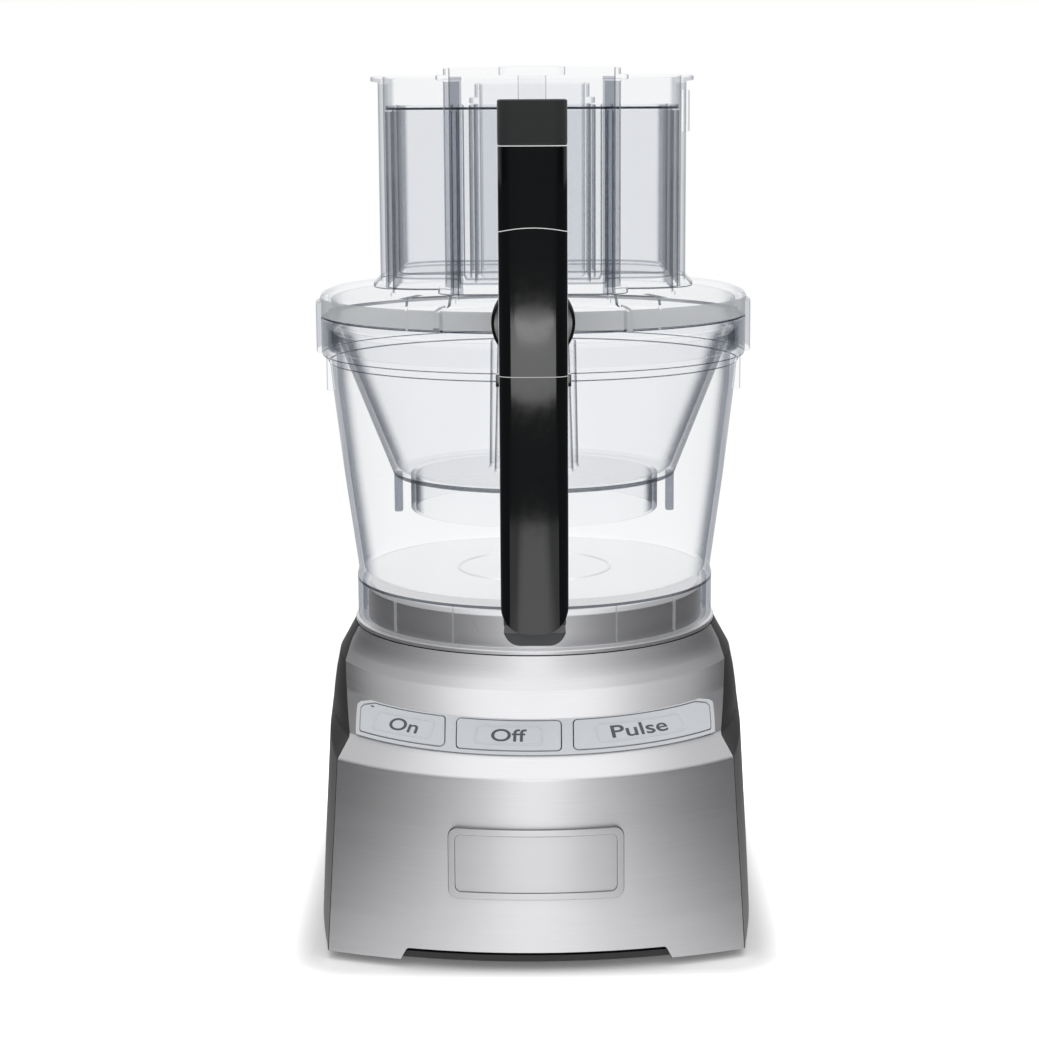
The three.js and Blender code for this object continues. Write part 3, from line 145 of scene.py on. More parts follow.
def linear(code):
    """An sRGB colour written as #rrggbb, in the linear values that the shaders take."""
    parts = [int(code[i:i + 2], 16) / 255 for i in (1, 3, 5)]
    return tuple(c / 12.92 if c <= 0.04045 else ((c + 0.055) / 1.055) ** 2.4 for c in parts)


# ---------------------------------------------------------------- what a user would change


def length_setting(name, description, default):
    return bpy.props.FloatProperty(
        name=name, description=description, default=default * MM, min=0, unit="LENGTH", precision=5)


def colour_setting(name, description, code):
    return bpy.props.FloatVectorProperty(
        name=name, description=description, default=linear(code), min=0, max=1, size=3, subtype="COLOR")


class ProcessorSizes(bpy.types.PropertyGroup):
    """Edge radii and heights of the small features."""

    handle_edge: length_setting("Handle edge", "Radius of the edges where the handle is split", 0.45)
    rim_edge: length_setting("Clear rim", "Radius of the rims of the clear parts", 0.7)
    key_edge: length_setting("Key edge", "Radius of the keys' upper edges", 0.35)
    frame_width: length_setting("Label frame", "Width of the raised line round the lettering", 0.9)
    frame_rise: length_setting("Label frame height", "How far that line stands off the key", 0.3)
    letter_height: length_setting("Lettering", "Height of a capital on the keys", 6.2)
    bead: length_setting("Neck bead", "How far the bead at the foot of the neck stands out", 0.45)
    grain: length_setting("Grain", "Spacing of the brushed lines", 0.45)
    grain_length: length_setting("Grain length", "Length of the brushed lines", 34)


class ProcessorColours(bpy.types.PropertyGroup):
    """Colours of the finishes."""

    steel: colour_setting("Steel", "Brushed stainless steel", "#e2e2e4")
    housing: colour_setting("Housing", "Dark moulded plastic of the base's sides and rear", "#262626")
    gloss: colour_setting("Handle", "Polished black plastic of the handle", "#030507")
    charcoal: colour_setting("Lock", "Satin charcoal plastic of the pusher lock", "#2c2d2e")
    key: colour_setting("Keys", "Pale grey of the control strip and its keys", "#c8cbcf")
    lettering: colour_setting("Lettering", "Printed grey of the lettering", "#5b5e63")
    clear: colour_setting("Clear", "White seen through all the walls of the feed tube", "#e3e6ec")
    clear_edge: colour_setting("Clear, edge on", "What one skin lets through, seen edge on", "#c6c9ce")
    deep_edge: colour_setting("Thin walls, edge on", "The same for the thinner walls", "#9ea2a9")
    # Painted shade: the dark tint laid as shade lines on thick corners, rims and engraved lines; the
    # handle's smoked foot also takes it as its own tint.
    shade: colour_setting("Thick corners", "What one skin lets through at a thick corner", "#85898f")
    frost: colour_setting("Frosted", "Frosted band round the lid", "#b2b5b8")
    # Painted highlight: the white scatter laid on the work bowl's floor and ribs.
    milk: colour_setting("Milky", "Places that gather light, such as the bowl's floor and ribs", "#eef0f3")
    smoke: colour_setting("Handle foot", "Smoked plastic of the handle's foot", "#4c4c4e")
    rubber: colour_setting("Rubber", "Moulded rubber of the feet and the gland", "#1b1b1c")
    alloy: colour_setting("Cast alloy", "Motor brackets, fan and gear carrier", "#a5a7a9")
    iron: colour_setting("Laminations", "Varnished iron stacks of the motor", "#6b5847")


def mm(name):
    """A size setting in millimetres."""
    return getattr(bpy.context.scene.processor_sizes, name) / MM


def colour(name):
    return tuple(getattr(bpy.context.scene.processor_colours, name))


# ---------------------------------------------------------------- outlines


def rounded_loop(corners, steps=6):
    """A closed outline from (a, b, radius) corners; a radius of 0 leaves the corner sharp."""
    points = []
    count = len(corners)
    for i, (a, b, radius) in enumerate(corners):
        corner = Vector((a, b))
        if radius < 0.01:
            points.append(tuple(corner))
            continue
        back = (Vector(corners[i - 1][:2]) - corner).normalized()
        ahead = (Vector(corners[(i + 1) % count][:2]) - corner).normalized()
        half = math.acos(max(-1, min(1, back.dot(ahead)))) / 2
        if half > math.pi / 2 - 0.002:
            points.append(tuple(corner))
            continue
        reach = radius / math.tan(half)
        centre = corner + (back + ahead).normalized() * (radius / math.sin(half))
        first = corner + back * reach - centre
        last = corner + ahead * reach - centre
        start = math.atan2(first.y, first.x)
        sweep = (math.atan2(last.y, last.x) - start + math.pi) % TAU - math.pi
        for k in range(steps + 1):
            angle = start + sweep * k / steps
            points.append((centre.x + radius * math.cos(angle), centre.y + radius * math.sin(angle)))
    return points


def box_loop(a0, a1, b0, b1, radius=0, steps=6):
    return rounded_loop([(a0, b0, radius), (a1, b0, radius), (a1, b1, radius), (a0, b1, radius)], steps)


def tube_loop(grow, steps=9):
    """The feed tube's plan grown all round."""
    half, nose_half = TUBE["half"] + grow, TUBE["nose_half"] + grow
    front, rear, nose = TUBE["front"] - grow, TUBE["rear"] + grow, TUBE["nose"] - grow
    return rounded_loop([
        (-nose_half, nose, TUBE["nose_round"] + grow), (nose_half, nose, TUBE["nose_round"] + grow),
        (nose_half, front, TUBE["in_round"] - grow), (half, front, TUBE["front_round"] + grow),
        (half, rear, TUBE["rear_round"] + grow), (-half, rear, TUBE["rear_round"] + grow),
        (-half, front, TUBE["front_round"] + grow), (-nose_half, front, TUBE["in_round"] - grow),
    ], steps)


def well_loop(grow):
    return box_loop(-WELL["half"] - grow, WELL["half"] + grow, WELL["front"] - grow,
                    WELL["rear"] + grow, WELL["round"] + grow, 9)


# ---------------------------------------------------------------- modelling


def settle():
    """Object mode, with nothing selected."""
    if bpy.context.object and bpy.context.object.mode != "OBJECT":
        bpy.ops.object.mode_set(mode="OBJECT")
    bpy.ops.object.select_all(action="DESELECT")


def only(obj):
    settle()
    obj.select_set(True)
    bpy.context.view_layer.objects.active = obj


def edit(obj, kind="FACE"):
    """Edit mode on one object, with all of it selected."""
    only(obj)
    bpy.ops.object.mode_set(mode="EDIT")
    bpy.ops.mesh.select_mode(type=kind)
    bpy.ops.mesh.select_all(action="SELECT")


def tidy(obj, doubles=0.0008):
    """Merges what coincides and turns the faces of a closed mesh outwards."""
    edit(obj, "VERT")
    bpy.ops.mesh.remove_doubles(threshold=doubles)
    bpy.ops.mesh.select_all(action="SELECT")
    bpy.ops.mesh.normals_make_consistent(inside=False)
    bpy.ops.object.mode_set(mode="OBJECT")
    return obj


PUTS = {
    "Z": lambda a, b, c: (a, b, c),
    "Y": lambda a, b, c: (a, c, b),
    "X": lambda a, b, c: (c, a, b),
}


def prism(name, loop, start, end, axis="Z"):
    """An outline extruded along an axis. It lies in (X, Y), in (X, Z) or in (Y, Z)."""
    put = PUTS[axis]
    settle()
    bpy.ops.mesh.primitive_circle_add(vertices=len(loop), radius=1, fill_type="NGON")
    obj = bpy.context.object
    obj.name = name
    for vertex, (a, b) in zip(obj.data.vertices, loop):
        vertex.co = put(a, b, start)
    edit(obj)
    bpy.ops.mesh.extrude_region_move(TRANSFORM_OT_translate={"value": put(0, 0, end - start)})
    return tidy(obj)


def block(name, x0, x1, y0, y1, z0, z1):
    return prism(name, box_loop(x0, x1, y0, y1), z0, z1)


def spun(name, profile, base=0, steps=TURN):
    """A closed profile of (radius, height) points spun round the Z axis."""
    settle()
    bpy.ops.mesh.primitive_circle_add(vertices=len(profile), radius=1, fill_type="NOTHING")
    obj = bpy.context.object
    obj.name = name
    for vertex, (r, z) in zip(obj.data.vertices, profile):
        vertex.co = (0, -r, z + base)
    edit(obj, "VERT")
    bpy.ops.mesh.spin(steps=steps, angle=TAU, center=(0, 0, 0), axis=(0, 0, 1))
    return tidy(obj)


def skin(name, rows, wrap=True, close=False, cap=False):
    """A grid laid over rows of points. `wrap` joins the ends of each row, `close` joins the last row
    to the first, and `cap` fills the openings that are left."""
    if wrap:
        rows = [[*row, row[0]] for row in rows]
    if close:
        rows = [*rows, rows[0]]
    settle()
    bpy.ops.mesh.primitive_grid_add(x_subdivisions=len(rows[0]) - 1, y_subdivisions=len(rows) - 1, size=2)
    obj = bpy.context.object
    obj.name = name
    order = sorted(obj.data.vertices, key=lambda v: (round(v.co.y, 5), round(v.co.x, 5)))
    for vertex, point in zip(order, (point for row in rows for point in row)):
        vertex.co = point
    edit(obj, "VERT")
    bpy.ops.mesh.remove_doubles(threshold=0.0008)
    if cap:
        bpy.ops.mesh.select_all(action="SELECT")
        bpy.ops.mesh.fill_holes(sides=0)
    bpy.ops.object.mode_set(mode="OBJECT")
    return tidy(obj) if close or cap else obj


def walled(name, profile, family, base=0, **ends):
    """A profile of (grow, height) points carried round a family of outlines."""
    return skin(name, [[(x, y, z + base) for x, y in family(grow)] for grow, z in profile], **ends)


def modified(obj, kind, **settings):
    """A modifier, applied."""
    modifier = obj.modifiers.new(kind.lower(), kind)
    for key, value in settings.items():
        setattr(modifier, key, value)
    only(obj)
    bpy.ops.object.modifier_apply(modifier=modifier.name)
    return obj


def combine(obj, operation, *tools):
    """Adds, cuts or intersects; the tools are used up."""
    for tool in tools:
        modified(obj, "BOOLEAN", operation=operation, object=tool, solver="EXACT")
        bpy.data.objects.remove(tool, do_unlink=True)
    return obj


def edged(obj, width, segments=3, angle=40):
    """Rounds the edges that are sharper than an angle."""
    return modified(obj, "BEVEL", width=width, segments=segments, limit_method="ANGLE",
                    angle_limit=math.radians(angle), harden_normals=False, miter_outer="MITER_ARC")


def joined(obj, *others):
    only(obj)
    for other in others:
        other.select_set(True)
    bpy.ops.object.join()
    return obj


def copied(obj, name):
    """A copy with its own mesh."""
    only(obj)
    bpy.ops.object.duplicate()
    made = bpy.context.object
    made.name = name
    return made


def turned(obj, degrees, axis="Z"):
    obj.data.transform(Matrix.Rotation(math.radians(degrees), 4, axis))
    return obj


def moved(obj, x=0, y=0, z=0):
    obj.data.transform(Matrix.Translation((x, y, z)))
    return obj


def mirrored(obj):
    """The mesh reflected in the plane X = 0, with its faces turned outwards again."""
    obj.data.transform(Matrix.Scale(-1, 4, (1, 0, 0)))
    return tidy(obj)


def sliced(obj, step, axis=0):
    """Cuts a flat piece into strips across an axis, so that it can be bent."""
    xs = [vertex.co[axis] for vertex in obj.data.vertices]
    along = [float(k == axis) for k in range(3)]
    count = max(1, math.ceil((max(xs) - min(xs)) / step))
    edit(obj)
    for k in range(1, count):
        bpy.ops.mesh.select_all(action="SELECT")
        place = min(xs) + (max(xs) - min(xs)) * k / count + 0.0137
        bpy.ops.mesh.bisect(plane_co=[place * k for k in along], plane_no=along)
    bpy.ops.object.mode_set(mode="OBJECT")
    return obj


def bent(obj, mapping, step=2.5):
    """Slices a flat piece and carries each point through a mapping."""
    sliced(obj, step)
    for vertex in obj.data.vertices:
        vertex.co = mapping(*vertex.co)
    return obj


def finish(obj, materials, slot, body, *nodes, angle):
    """Brings a piece to metres, gives it its finish and its body, and hides what it stands for."""
    obj.data.transform(Matrix.Scale(MM, 4))
    if not obj.data.materials:
        for material in materials:
            obj.data.materials.append(material)
    only(obj)
    bpy.ops.object.shade_smooth_by_angle(angle=math.radians(angle))
    modified(obj, "WEIGHTED_NORMAL", keep_sharp=True, weight=60, mode="FACE_AREA_WITH_ANGLE")
    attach(obj, body)
    if nodes:
        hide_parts(*nodes)
    # Clear pieces and handles stay out of reflections, so that the steel deck mirrors no dark handle.
    obj.visible_glossy = slot not in ("clear_plastic", "black_gloss")
    return obj


def coated(obj, *names):
    """Gives a piece its finishes; the first covers it, and paint lays the others over places."""
    for name in names:
        obj.data.materials.append(material(name))


def paint(obj, index, test):
    """Gives a finish to the faces whose middle, in millimetres, and normal pass a test."""
    for face in obj.data.polygons:
        if test(face.center, face.normal):
            face.material_index = index


# ---------------------------------------------------------------- materials


def add(tree, kind, links=(), **settings):
    """Adds a node. `links` pairs its inputs with outputs, with nodes, whose first output is meant, or
    with the values they take."""
    node = tree.nodes.new(kind)
    for key, value in settings.items():
        setattr(node, key, value)
    for name, source in dict(links).items():
        if isinstance(source, bpy.types.Node):
            source = source.outputs[0]
        if isinstance(source, bpy.types.NodeSocket):
            tree.links.new(source, node.inputs[name])
        else:
            node.inputs[name].default_value = source
    return node


def new_material(name):
    made = bpy.data.materials.new(name)
    made.use_nodes = True
    made.node_tree.nodes.clear()
    return made, made.node_tree


def rgba(value, factor=1):
    return (*[c * factor for c in value], 1)


def between(low, high, start=0, end=1):
    """The limits of a value that is carried from one range to another."""
    return {"From Min": low, "From Max": high, "To Min": start, "To Max": end}


NOISE = (0.3, 0.7)  # the part of the noise that is used; what lies beyond is clamped


def grain(tree, scale, detail=2, roughness=0.5):
    """Noise on the piece's own coordinates, stretched by a scale per metre along each axis."""
    place = add(tree, "ShaderNodeTexCoord").outputs["Object"]
    mapped = add(tree, "ShaderNodeMapping", {"Vector": place, "Scale": scale})
    return add(tree, "ShaderNodeTexNoise", {
        "Vector": mapped, "Scale": 1, "Detail": detail, "Roughness": roughness}).outputs["Fac"]


def brushed_steel(name, base, rough, streak):
    """Stainless steel sheet, brushed across: fine level lines that spread each reflection up and down."""
    made, tree = new_material(name)
    across = 1 / (mm("grain_length") * MM)
    lines = grain(tree, (across, across, 1 / (mm("grain") * MM)), detail=3, roughness=0.6)
    patches = grain(tree, (across, across, across * 4), detail=1)
    fine = add(tree, "ShaderNodeMath", {0: lines, 1: 0.75}, operation="MULTIPLY")
    coarse = add(tree, "ShaderNodeMath", {0: patches, 1: 0.25}, operation="MULTIPLY")
    mixed = add(tree, "ShaderNodeMath", {0: fine, 1: coarse}, operation="ADD")
    share = add(tree, "ShaderNodeMapRange", {"Value": mixed, **between(*NOISE)})
    tone = add(tree, "ShaderNodeMix", {
        "Factor": share, "A": rgba(base, 1 - streak), "B": rgba(base)}, data_type="RGBA").outputs[2]
    normal = add(tree, "ShaderNodeNewGeometry").outputs["Normal"]
    tangent = add(tree, "ShaderNodeVectorMath", {0: normal, 1: (0, 0.003, 1)}, operation="CROSS_PRODUCT")
    roughness = add(tree, "ShaderNodeMapRange", {
        "Value": lines, **between(*NOISE, rough - 0.02, rough + 0.03)})
    shader = add(tree, "ShaderNodeBsdfPrincipled", {
        "Base Color": tone, "Metallic": 1, "Roughness": roughness,
        "Anisotropic": 0.75, "Anisotropic Rotation": 0.25, "Tangent": tangent})
    add(tree, "ShaderNodeOutputMaterial", {"Surface": shader})
    return made


def moulded(name, base, rough, level=0.5, pitch=0.6, depth=0.00003, spread=0.06, wear=0.025):
    """Injection moulded plastic: an even colour under a fine spark-eroded texture."""
    made, tree = new_material(name)
    scale = 1 / (pitch * MM)
    texture = grain(tree, (scale, scale, scale), detail=2)
    broad = grain(tree, (9, 9, 9), detail=1)
    share = add(tree, "ShaderNodeMapRange", {"Value": broad, **between(*NOISE)})
    tone = add(tree, "ShaderNodeMix", {
        "Factor": share, "A": rgba(base, 1 - spread), "B": rgba(base, 1 + spread)},
        data_type="RGBA").outputs[2]
    bump = add(tree, "ShaderNodeBump", {"Strength": 0.25, "Distance": depth, "Height": texture})
    roughness = add(tree, "ShaderNodeMapRange", {
        "Value": texture, **between(*NOISE, rough - wear, rough + wear)})
    shader = add(tree, "ShaderNodeBsdfPrincipled", {
        "Base Color": tone, "Roughness": roughness, "Specular IOR Level": level, "Normal": bump})
    add(tree, "ShaderNodeOutputMaterial", {"Surface": shader})
    return made


WALLS = 16  # skins that a straight look through the feed tube crosses
GRAZING = 0.22  # what a clear skin mirrors more at the shallowest angle than straight on


def clear_plastic(name, edge="clear_edge", haze_and_painted_glow=0.0, haze_and_glow_colour="milk", face=None, straight=0.01,
                  band=(0.6, 0.84)):
    """Clear moulded SAN: almost nothing face on, grey where a wall is seen along itself, with a
    polished skin that mirrors at a shallow angle. The share that scatters stands for real frost and
    smoke, and for a painted highlight where it is laid on the work bowl's ribs and floor."""
    made, tree = new_material(name)
    facing = add(tree, "ShaderNodeLayerWeight", {"Blend": 0.5}).outputs["Facing"]
    geometry = add(tree, "ShaderNodeNewGeometry").outputs
    upright = add(tree, "ShaderNodeSeparateXYZ", {"Vector": geometry["Normal"]}).outputs["Z"]
    level = add(tree, "ShaderNodeMath", {0: upright, 1: 0}, operation="ABSOLUTE")
    on_walls = add(tree, "ShaderNodeMapRange", {"Value": level, **between(0, 1, 1, 0.12)})
    edge_on = add(tree, "ShaderNodeMapRange", {
        "Value": facing, **between(*band)}, interpolation_type="SMOOTHSTEP")
    along = add(tree, "ShaderNodeMath", {0: edge_on, 1: on_walls}, operation="MULTIPLY")
    specks = grain(tree, (60, 60, 60), detail=1)
    fleck = add(tree, "ShaderNodeMapRange", {"Value": specks, **between(*NOISE, 0.94, 1)})
    share = add(tree, "ShaderNodeMath", {0: along, 1: fleck}, operation="MULTIPLY")
    open_tint = colour(face) if face else tuple(c ** (1 / WALLS) for c in colour("clear"))
    tint = add(tree, "ShaderNodeMix", {
        "Factor": share, "A": rgba(open_tint), "B": rgba(colour(edge))}, data_type="RGBA").outputs[2]
    through = add(tree, "ShaderNodeBsdfTransparent", {"Color": tint})
    # White scatter: real haze for frost and smoke, painted highlight for the bowl's ribs and floor.
    if haze_and_painted_glow:
        white = add(tree, "ShaderNodeBsdfDiffuse", {"Color": rgba(colour(haze_and_glow_colour))})
        outside = add(tree, "ShaderNodeMath", {0: 1, 1: geometry["Backfacing"]}, operation="SUBTRACT")
        haze_and_glow_share = add(tree, "ShaderNodeMath", {0: outside, 1: haze_and_painted_glow}, operation="MULTIPLY")
        through = add(tree, "ShaderNodeMixShader", {0: haze_and_glow_share, 1: through, 2: white})
    mirror = add(tree, "ShaderNodeBsdfGlossy", {"Color": rgba((1, 1, 1)), "Roughness": 0.04 + haze_and_painted_glow * 0.4})
    steep = add(tree, "ShaderNodeMath", {0: facing, 1: 5}, operation="POWER")
    grazed = add(tree, "ShaderNodeMath", {0: steep, 1: GRAZING}, operation="MULTIPLY")
    mirrored_share = add(tree, "ShaderNodeMath", {0: grazed, 1: straight}, operation="ADD")
    shader = add(tree, "ShaderNodeMixShader", {0: mirrored_share, 1: through, 2: mirror})
    add(tree, "ShaderNodeOutputMaterial", {"Surface": shader})
    return made


def metal(name, base, rough, pitch):
    """Cast, ground or laminated metal: the same build with its own grain."""
    made, tree = new_material(name)
    texture = grain(tree, tuple(1 / (step * MM) for step in pitch), detail=3)
    share = add(tree, "ShaderNodeMapRange", {"Value": texture, **between(*NOISE)})
    tone = add(tree, "ShaderNodeMix", {
        "Factor": share, "A": rgba(base, 0.82), "B": rgba(base)}, data_type="RGBA").outputs[2]
    bump = add(tree, "ShaderNodeBump", {"Strength": 0.2, "Distance": 0.00004, "Height": texture})
    roughness = add(tree, "ShaderNodeMapRange", {
        "Value": texture, **between(*NOISE, rough - 0.05, rough + 0.08)})
    shader = add(tree, "ShaderNodeBsdfPrincipled", {
        "Base Color": tone, "Metallic": 1, "Roughness": roughness, "Normal": bump})
    add(tree, "ShaderNodeOutputMaterial", {"Surface": shader})
    return made


def steel(share):
    """The steel's colour, darkened to a share of itself."""
    return tuple(c * share for c in colour("steel"))


MAKERS = {
    # Brushed stainless sheet on the cover and the pedestal: a soft sheen with level grain.
    "brushed_stainless": lambda name: brushed_steel(name, steel(1), 0.42, 0.07),
    # The badge is the same steel, polished a little after brushing.
    "satin_stainless": lambda name: brushed_steel(name, steel(0.86), 0.36, 0.05),
    # The badge's edges, darkened: a painted shade line round the plate and its recess.
    "etched_stainless": lambda name: brushed_steel(name, steel(0.3), 0.5, 0.05),
    # Spark-eroded ABS: dark, with a dull sheen.
    "textured_abs": lambda name: moulded(name, colour("housing"), 0.48, pitch=0.8),
    # Polished black ABS: mirrors its surroundings faintly, as deep as lacquer.
    "polished_abs": lambda name: moulded(
        name, colour("gloss"), 0.06, level=1.0, pitch=3, depth=0, wear=0.01),
    # Satin charcoal ABS.
    "satin_abs": lambda name: moulded(name, colour("charcoal"), 0.42, level=0.45, pitch=0.5),
    # Painted polycarbonate of the strip and keys: pale grey with a slight metal sheen.
    "painted_polycarbonate": lambda name: moulded(name, colour("key"), 0.38, pitch=0.5, spread=0.02),
    # Screen-printed ink.
    "printed_ink": lambda name: moulded(
        name, colour("lettering"), 0.6, level=0.3, pitch=0.3, spread=0.04),
    # Clear SAN of the bowls, lid, sleeve and pushers.
    "clear_san": lambda name: clear_plastic(name),
    # The same, for thinner walls, which go darker along themselves.
    "deep_san": lambda name: clear_plastic(name, edge="deep_edge"),
    # The same for the tube's walls, whose rounded corners bend more light away.
    "walled_san": lambda name: clear_plastic(name, edge="deep_edge", band=(0.55, 0.82)),
    # The same, darker face on: painted shade laid on the sleeve's nose corners, the large pusher's lower
    # end and the second bowl's legs.
    "dimmed_san": lambda name: clear_plastic(name, face="clear_edge"),
    # The same, painted dark: painted shade lines where thick corners, rims and engraved lines bend the
    # light away.
    "shaded_san": lambda name: clear_plastic(name, edge="shade", face="shade"),
    # The same, frosted by the mould round the lid's band.
    "frosted_san": lambda name: clear_plastic(name, haze_and_painted_glow=0.8, haze_and_glow_colour="frost"),
    # The same with a white scatter laid on the ribs inside the work bowl's skirt: a painted highlight.
    "bright_san": lambda name: clear_plastic(name, haze_and_painted_glow=0.45),
    # The same with a white scatter and a strong mirror laid on the work bowl's floor: a painted highlight
    # and a painted reflection that make it read nearly white.
    "milky_san": lambda name: clear_plastic(name, haze_and_painted_glow=0.8, straight=0.7),
    # Smoked translucent plastic of the handle's foot.
    "smoked_san": lambda name: clear_plastic(
        name, haze_and_painted_glow=0.85, haze_and_glow_colour="smoke", face="shade", straight=0.03),
    # Moulded nitrile rubber: matte and nearly black.
    "moulded_rubber": lambda name: moulded(name, colour("rubber"), 0.75, level=0.25, pitch=0.9),
    # Die-cast aluminium, as cast.
    "cast_aluminium": lambda name: metal(name, colour("alloy"), 0.5, (1.2, 1.2, 1.2)),
    # Ground gear steel.
    "ground_steel": lambda name: metal(name, linear("#9b9d9f"), 0.32, (6, 6, 0.5)),
    # Varnished iron laminations, 0.5 mm each.
    "laminated_iron": lambda name: metal(name, colour("iron"), 0.5, (12, 12, 0.5)),
}


def material(name):
    """The named finish, made when it is first asked for."""
    return bpy.data.materials.get(name) or MAKERS[name](name)


# ---------------------------------------------------------------- base


def blended(low, high, share):
    return tuple(a + (b - a) * share for a, b in zip(low, high))


def base_rows():
    """The base's levels with their edges rounded; front_row sets the bead at the foot of the neck on them.
    """
    rows = [LEVELS[0]]
    for i in range(1, len(LEVELS) - 1):
        below, here, above = LEVELS[i - 1:i + 2]
        to_below = math.dist(here[:2], below[:2])
        to_above = math.dist(here[:2], above[:2])
        first = blended(here, below, EASE[i] / to_below)
        last = blended(here, above, EASE[i] / to_above)
        for k in range(5):
            share = k / 4
            rows.append(blended(blended(first, here, share), blended(here, last, share), share))
    rows.append(LEVELS[-1])
    return rows


def level_at(z):
    """The base's outline at a height."""
    for low, high in zip(LEVELS, LEVELS[1:]):
        if z <= high[0]:
            return blended(low, high, (z - low[0]) / (high[0] - low[0]))
    return LEVELS[-1]


BEAD_Z = 121.5
BEAD_HALF = 0.6


def bead_at(z):
    """How far the neck's bead stands out at a height."""
    return mm("bead") * max(0, 1 - ((z - BEAD_Z) / BEAD_HALF) ** 2)


def front_row(level, columns):
    z, reach, radius, corner = level[:4]
    limit = math.asin(corner / radius)
    r = radius + bead_at(z)
    angles = [-limit + 2 * limit * k / columns for k in range(columns + 1)]
    return [(r * math.sin(a), radius - reach - r * math.cos(a), z) for a in angles]


def rear_row(level, side_steps=14, rear_steps=30):
    """From the right front corner round the rear to the left one."""
    z, reach, radius, corner, side, rear, power = level
    corner_y = radius - reach - math.sqrt(radius ** 2 - corner ** 2)
    half = []
    for k in range(side_steps):
        along = 1 - k / side_steps
        half.append((side - (side - corner) * along ** 2, corner_y * along))
    for k in range(rear_steps + 1):
        angle = math.pi / 2 * k / rear_steps
        half.append((side * max(0, math.cos(angle)) ** (2 / power), rear * math.sin(angle) ** (2 / power)))
    half[-1] = (0, rear)
    lean = math.asin(corner / radius)
    half[0] = (half[0][0] + SEAM * math.cos(lean), half[0][1] + SEAM * math.sin(lean))
    return [(x, y, z) for x, y in half] + [(-x, y, z) for x, y in reversed(half[:-1])]


def outward(obj):
    """Turns an open shell round the Z axis so that its faces look away from the axis."""
    total = sum(face.normal.xy.dot(face.center.xy) for face in obj.data.polygons)
    if total < 0:
        edit(obj)
        bpy.ops.mesh.flip_normals()
        bpy.ops.object.mode_set(mode="OBJECT")
    return obj


def on_slope(u, v, h):
    """A point of the unrolled control slope, bent round onto it."""
    heading = u / SLOPE_MIDDLE_R
    r = SLOPE_R + SLOPE_UP[0] * v + SLOPE_OUT[0] * h
    return (r * math.sin(heading), SLOPE_AXIS_Y - r * math.cos(heading),
            SLOPE_Z + SLOPE_UP[1] * v + SLOPE_OUT[1] * h)


def across(x, up):
    """How far across the unrolled slope a side position lies."""
    return SLOPE_MIDDLE_R * math.asin(x / (SLOPE_R + SLOPE_UP[0] * up))


PANEL_SPAN = (PANEL["bare"], SLOPE_LENGTH - PANEL["bare"])
KEY_SPAN = (PANEL_SPAN[0] + KEY["low"], PANEL_SPAN[1] - KEY["high"])


def chamfered_end(end, low, high, radius, outward_sign):
    return [
        (end, low, radius), (end, high - PANEL["chamfer"], 0.8),
        (end - outward_sign * PANEL["chamfer"] / 2, high - PANEL["drop"], 0.8),
        (end - outward_sign * PANEL["flat"], high, 0.8),
    ]


def slope_outline(right, left):
    corners = [*right, *reversed(left)]
    return rounded_loop([(across(x, up), up, radius) for x, up, radius in corners], 4)


def panel_loop(grow):
    low, high = PANEL_SPAN[0] - grow, PANEL_SPAN[1] + grow
    end = PANEL["half"] + grow
    return slope_outline(chamfered_end(end, low, high, PANEL["round"], 1),
                         chamfered_end(-end, low, high, PANEL["round"], -1))


def key_loop(x0, x1, grow):
    low, high = KEY_SPAN[0] - grow, KEY_SPAN[1] + grow
    radius = KEY["round"] + grow

    def side(x, sign):
        end = x + sign * grow
        if PANEL["half"] - abs(x) < PANEL["flat"]:
            return chamfered_end(end, low, high, radius, sign)
        return [(end, low, radius), (end, high, radius)]

    return slope_outline(side(x1, 1), side(x0, -1))


def make_front_cover():
    rows = [front_row(level, 108) for level in base_rows()]
    cover = outward(skin("steel_cover", rows, wrap=False))
    modified(cover, "SOLIDIFY", thickness=WALL, offset=-1, use_even_offset=False)
    bottom = LEVELS[0][0]
    notch = prism("notch", rounded_loop([
        (-NOTCH["half"] - NOTCH["splay"], bottom - 2, 0), (NOTCH["half"] + NOTCH["splay"], bottom - 2, 0),
        (NOTCH["half"], bottom + NOTCH["height"], NOTCH["round"]),
        (-NOTCH["half"], bottom + NOTCH["height"], NOTCH["round"]),
    ]), -200, 0, "Y")
    combine(cover, "DIFFERENCE", notch)
    seat = bent(prism("seat", panel_loop(GAP), -PANEL["sink"] - GAP, 3), on_slope, 4)
    combine(cover, "DIFFERENCE", seat)
    for _, x0, x1, *_ in KEYS:
        window = bent(prism("window", key_loop(x0, x1, KEY["gap"]), -8, 2), on_slope, 4)
        combine(cover, "DIFFERENCE", window)
    tidy(cover, 0.002)
    finish(cover, [material("brushed_stainless")], "brushed_steel", "base", "front_cover", angle=14)


def make_rear_housing():
    rows = [rear_row(level) for level in base_rows()]
    housing = outward(skin("housing_shell", rows, wrap=False))
    modified(housing, "SOLIDIFY", thickness=WALL, offset=-1, use_even_offset=False)
    for k in range(-VENT["each"], VENT["each"] + 1):
        x = k * VENT["pitch"]
        loop = box_loop(x - VENT["half"], x + VENT["half"], VENT["low"], VENT["high"], VENT["half"] * 0.98)
        combine(housing, "DIFFERENCE", prism("vent", loop, 100, 200, "Y"))
    bore = GLAND["body"] + GAP
    hole = turned(spun("hole", [(0, 0), (bore, 0), (bore, 200), (0, 200)], 0, 40), -90, "X")
    combine(housing, "DIFFERENCE", moved(hole, GLAND["x"], 0, GLAND["z"]))
    finish(housing, [material("textured_abs")], "dark_plastic", "base", "rear_housing", angle=28)


